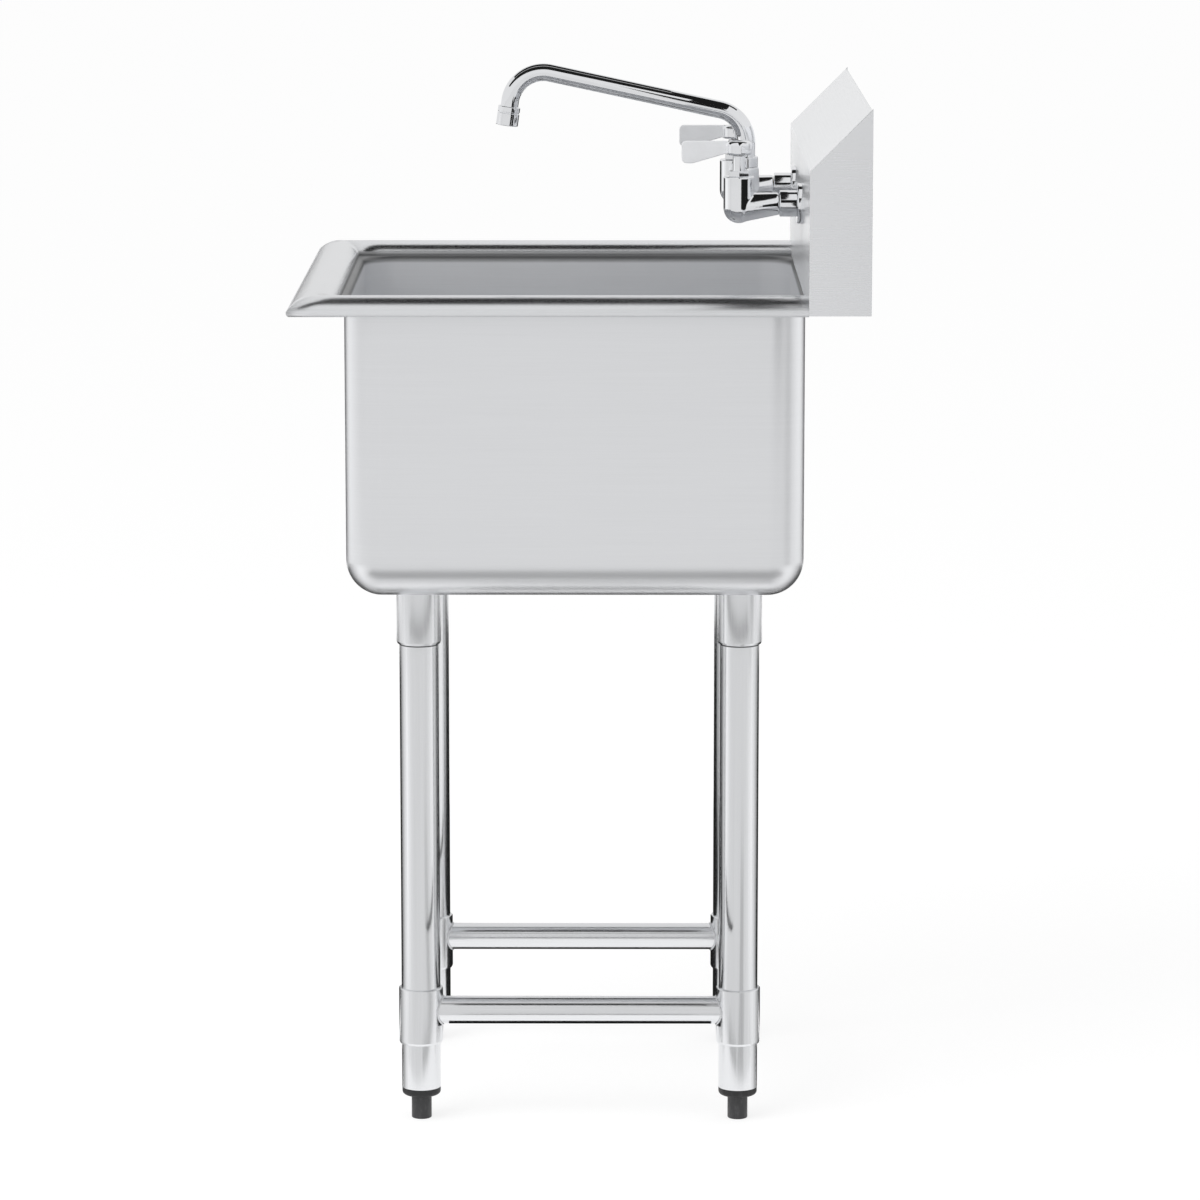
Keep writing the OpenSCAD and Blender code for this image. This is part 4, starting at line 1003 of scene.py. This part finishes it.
class SINK_OT_studio(bpy.types.Operator):
    """Camera, pale floor, soft light and dark cards"""
    bl_idname = "sink.studio"
    bl_label = "Studio"

    def execute(self, context):
        p = in_mm(context.scene.sink_studio)
        scene = context.scene
        scene.view_settings.view_transform = "Standard"
        lens = bpy.data.cameras.new("photo_camera")
        lens.sensor_width = 36.0
        lens.lens = 155.7
        lens.clip_end = 200.0
        camera = link(bpy.data.objects.new("photo_camera", lens))
        pitch, yaw = math.radians(9.918), math.radians(-0.191)
        ahead = Vector((-math.cos(pitch) * math.cos(yaw), math.cos(pitch) * math.sin(yaw), -math.sin(pitch)))
        camera.location = (5.5474, 0.0392, 1.5027)
        camera.rotation_euler = ahead.to_track_quat("-Z", "Y").to_euler()
        scene.camera = camera
        world = bpy.data.worlds.new("studio")
        world.use_nodes = True
        world.node_tree.nodes.clear()
        sky = Finish("sky", world.node_tree, "ShaderNodeOutputWorld")
        seen = sky.node("ShaderNodeLightPath", out="Is Camera Ray")
        sky.node("ShaderNodeBackground", None, {"Color": (0.8, 0.8, 0.8, 1), "Strength":
                                                sky.shown() * (1 - p.white) + p.white + seen * 0.25}).ends()
        scene.world = world
        floor = Finish("pale_floor")
        paint = floor.node("ShaderNodeBsdfDiffuse", None, {"Color": (0.3, 0.3, 0.3, 1)})
        glow = floor.node("ShaderNodeEmission", None, {"Color": (1, 1, 1, 1), "Strength": 0.76})
        lit = floor.node("ShaderNodeAddShader", None, {0: paint, 1: glow})
        plain = floor.node("ShaderNodeBsdfDiffuse", None, {"Color": (0.75, 0.75, 0.75, 1)})
        floor.node("ShaderNodeMixShader", None, {0: floor.shown(), 1: plain, 2: lit}).ends()
        mesh = bpy.data.meshes.new("floor")
        mesh.from_pydata([(-60, -60, 0), (60, -60, 0), (60, 60, 0), (-60, 60, 0)], [], [(0, 1, 2, 3)])
        mesh.materials.append(floor.material)
        link(bpy.data.objects.new("floor", mesh))
        dark, grey = p.flag_grey, p.front_grey
        card("flag_high", dark, [(1.5, 0.17, 1.22), (1.5, 0.33, 1.22), (1.0, 0.33, 1.6), (1.0, 0.17, 1.6)])
        card("flag_front", dark, [(1.0, 0.44, 0.79), (1.0, 0.95, 0.79), (1.0, 0.95, 0.97), (1.0, 0.44, 0.97)])
        for name, level, x, y, far_x, far_y, z in (
                ("flag_over", dark, -0.43, -0.9, 0.05, 0.9, 1.935), ("grey_under", 0.35, 0.3, -0.33, 0.42, 0.33, 0.5),
                ("flag_rail", dark, 0.06, -0.14, 0.178, 0.14, 0.1),
                ("flag_rail_near", dark, 0.211, -0.135, 0.239, 0.135, 0.2),
                ("flag_rail_far", dark, -0.122, -0.135, -0.094, 0.135, 0.2),
                ("grey_rail", 0.35, 0.37, -0.13, 0.47, 0.13, 0.006),
                ("flag_spout", dark, 0.009, -0.3, 0.11, 0.15, 1.2), ("gleam_spout", 0.4, -0.02, -0.3, 0.018, 0.15, 1.3),
                ("rear_spout", dark, -0.2, -0.3, -0.02, 0.15, 1.3), ("flag_arms", dark, -0.06, 0.15, 0.4, 0.226, 1.2)):
            card(name, level, [(x, y, z), (far_x, y, z), (far_x, far_y, z), (x, far_y, z)])
        card("flag_cup", dark, [(0.135, 0.229, 0.94), (0.295, 0.229, 0.94), (0.295, 0.229, 1.0), (0.135, 0.229, 1.0)],
             one_sided=True)
        card("flag_ground", dark, [(-0.18, 0.7, GROUND), (-1.4, 2.0, GROUND), (-1.4, -2.0, GROUND),
                                   (-0.18, -0.7, GROUND)])
        walls = ((0, 48, grey), (48, 66, grey - 0.03), (66, 82, grey + 0.06), (82, 92, grey + 0.17), (112, 122, grey),
                 (122, 130, 0.4), (130, 164, dark), (164, 172, 0.5))
        grounds = ((0, 40, grey), (40, 50, grey + 0.06), (50, 62, grey + 0.18), (84, 98, 0.87), (98, 108, 0.7),
                   (108, 118, 0.52), (118, 130, 0.33))
        for side, s in ENDS.items():
            for number, (start, end, level) in enumerate(walls):
                if s > 0 and start == 48:
                    level = 0.52
                high = 0.93 if start > 100 else 1.15
                card("wall_%s_%d" % (side, number), level, fan(s * start, s * end, (-0.15, 0), 1.75, 0.25, high)[0])
            for number, (start, end, level) in enumerate(grounds):
                place = (-0.15, 0) if start < 80 else (0.167, s * 0.17)
                for part, shape in zip(("low", "ground"), fan(s * start, s * end, place, 1.72 if start < 80 else 1.6,
                                                              0.0, 0.25)):
                    card("%s_%s_%d" % (part, side, number), level, shape)
            card("low_dark_" + side, dark, fan(s * 130, s * 180, (0.167, s * 0.17), 1.6, 0.0, 0.25)[0])
            card("flag_ground_" + side, dark, [(x, s * y, GROUND) for x, y in (
                (0.12, 0.2), (0.01, 0.2), (-0.1, 0.2), (-0.1, 0.484))])
        for part, shape in zip(("low", "ground"), fan(15, 29, (-0.15, 0), 1.69, 0.0, 0.25)):
            card("dip_" + part, 0.5, [(x, y, max(z, 0.006)) for x, y, z in shape])
        lamp = bpy.data.lights.new("soft_key", "AREA")
        lamp.shape = "RECTANGLE"
        lamp.size, lamp.size_y = 2.4, 2.4
        lamp.energy = p.key
        key = link(bpy.data.objects.new("soft_key", lamp))
        key.location = (1.6, -1.8, 2.9)
        key.rotation_euler = (Vector((0, 0, 0.6)) - Vector(key.location)).to_track_quat("-Z", "Y").to_euler()
        key.visible_glossy = False
        return {"FINISHED"}


class SINK_PT_panel(bpy.types.Panel):
    """Steps that build the sink"""
    bl_idname = "SINK_PT_panel"
    bl_label = "Utility sink"
    bl_space_type = "VIEW_3D"
    bl_region_type = "UI"
    bl_category = "Sink"

    def draw(self, context):
        for step in STEPS:
            self.layout.operator(step.bl_idname)


STEPS = (SINK_OT_studio, SINK_OT_finishes, SINK_OT_sheet, SINK_OT_legs, SINK_OT_faucet)
GROUPS = {"sink_sheet": SheetSizes, "sink_legs": LegSizes, "sink_faucet": FaucetSizes, "sink_studio": StudioSizes}


def register():
    for cls in (*GROUPS.values(), *STEPS, SINK_PT_panel):
        bpy.utils.register_class(cls)
    for name, cls in GROUPS.items():
        setattr(bpy.types.Scene, name, bpy.props.PointerProperty(type=cls))


def unregister():
    for name in GROUPS:
        delattr(bpy.types.Scene, name)
    for cls in (SINK_PT_panel, *reversed(STEPS), *reversed(tuple(GROUPS.values()))):
        bpy.utils.unregister_class(cls)


def corners(bounds):
    return [[float(v) for v in corner] for corner in bounds]


def main():
    register()
    for step in STEPS:
        space, name = step.bl_idname.split(".")
        getattr(getattr(bpy.ops, space), name)()


if __name__ == "__main__":
    main()
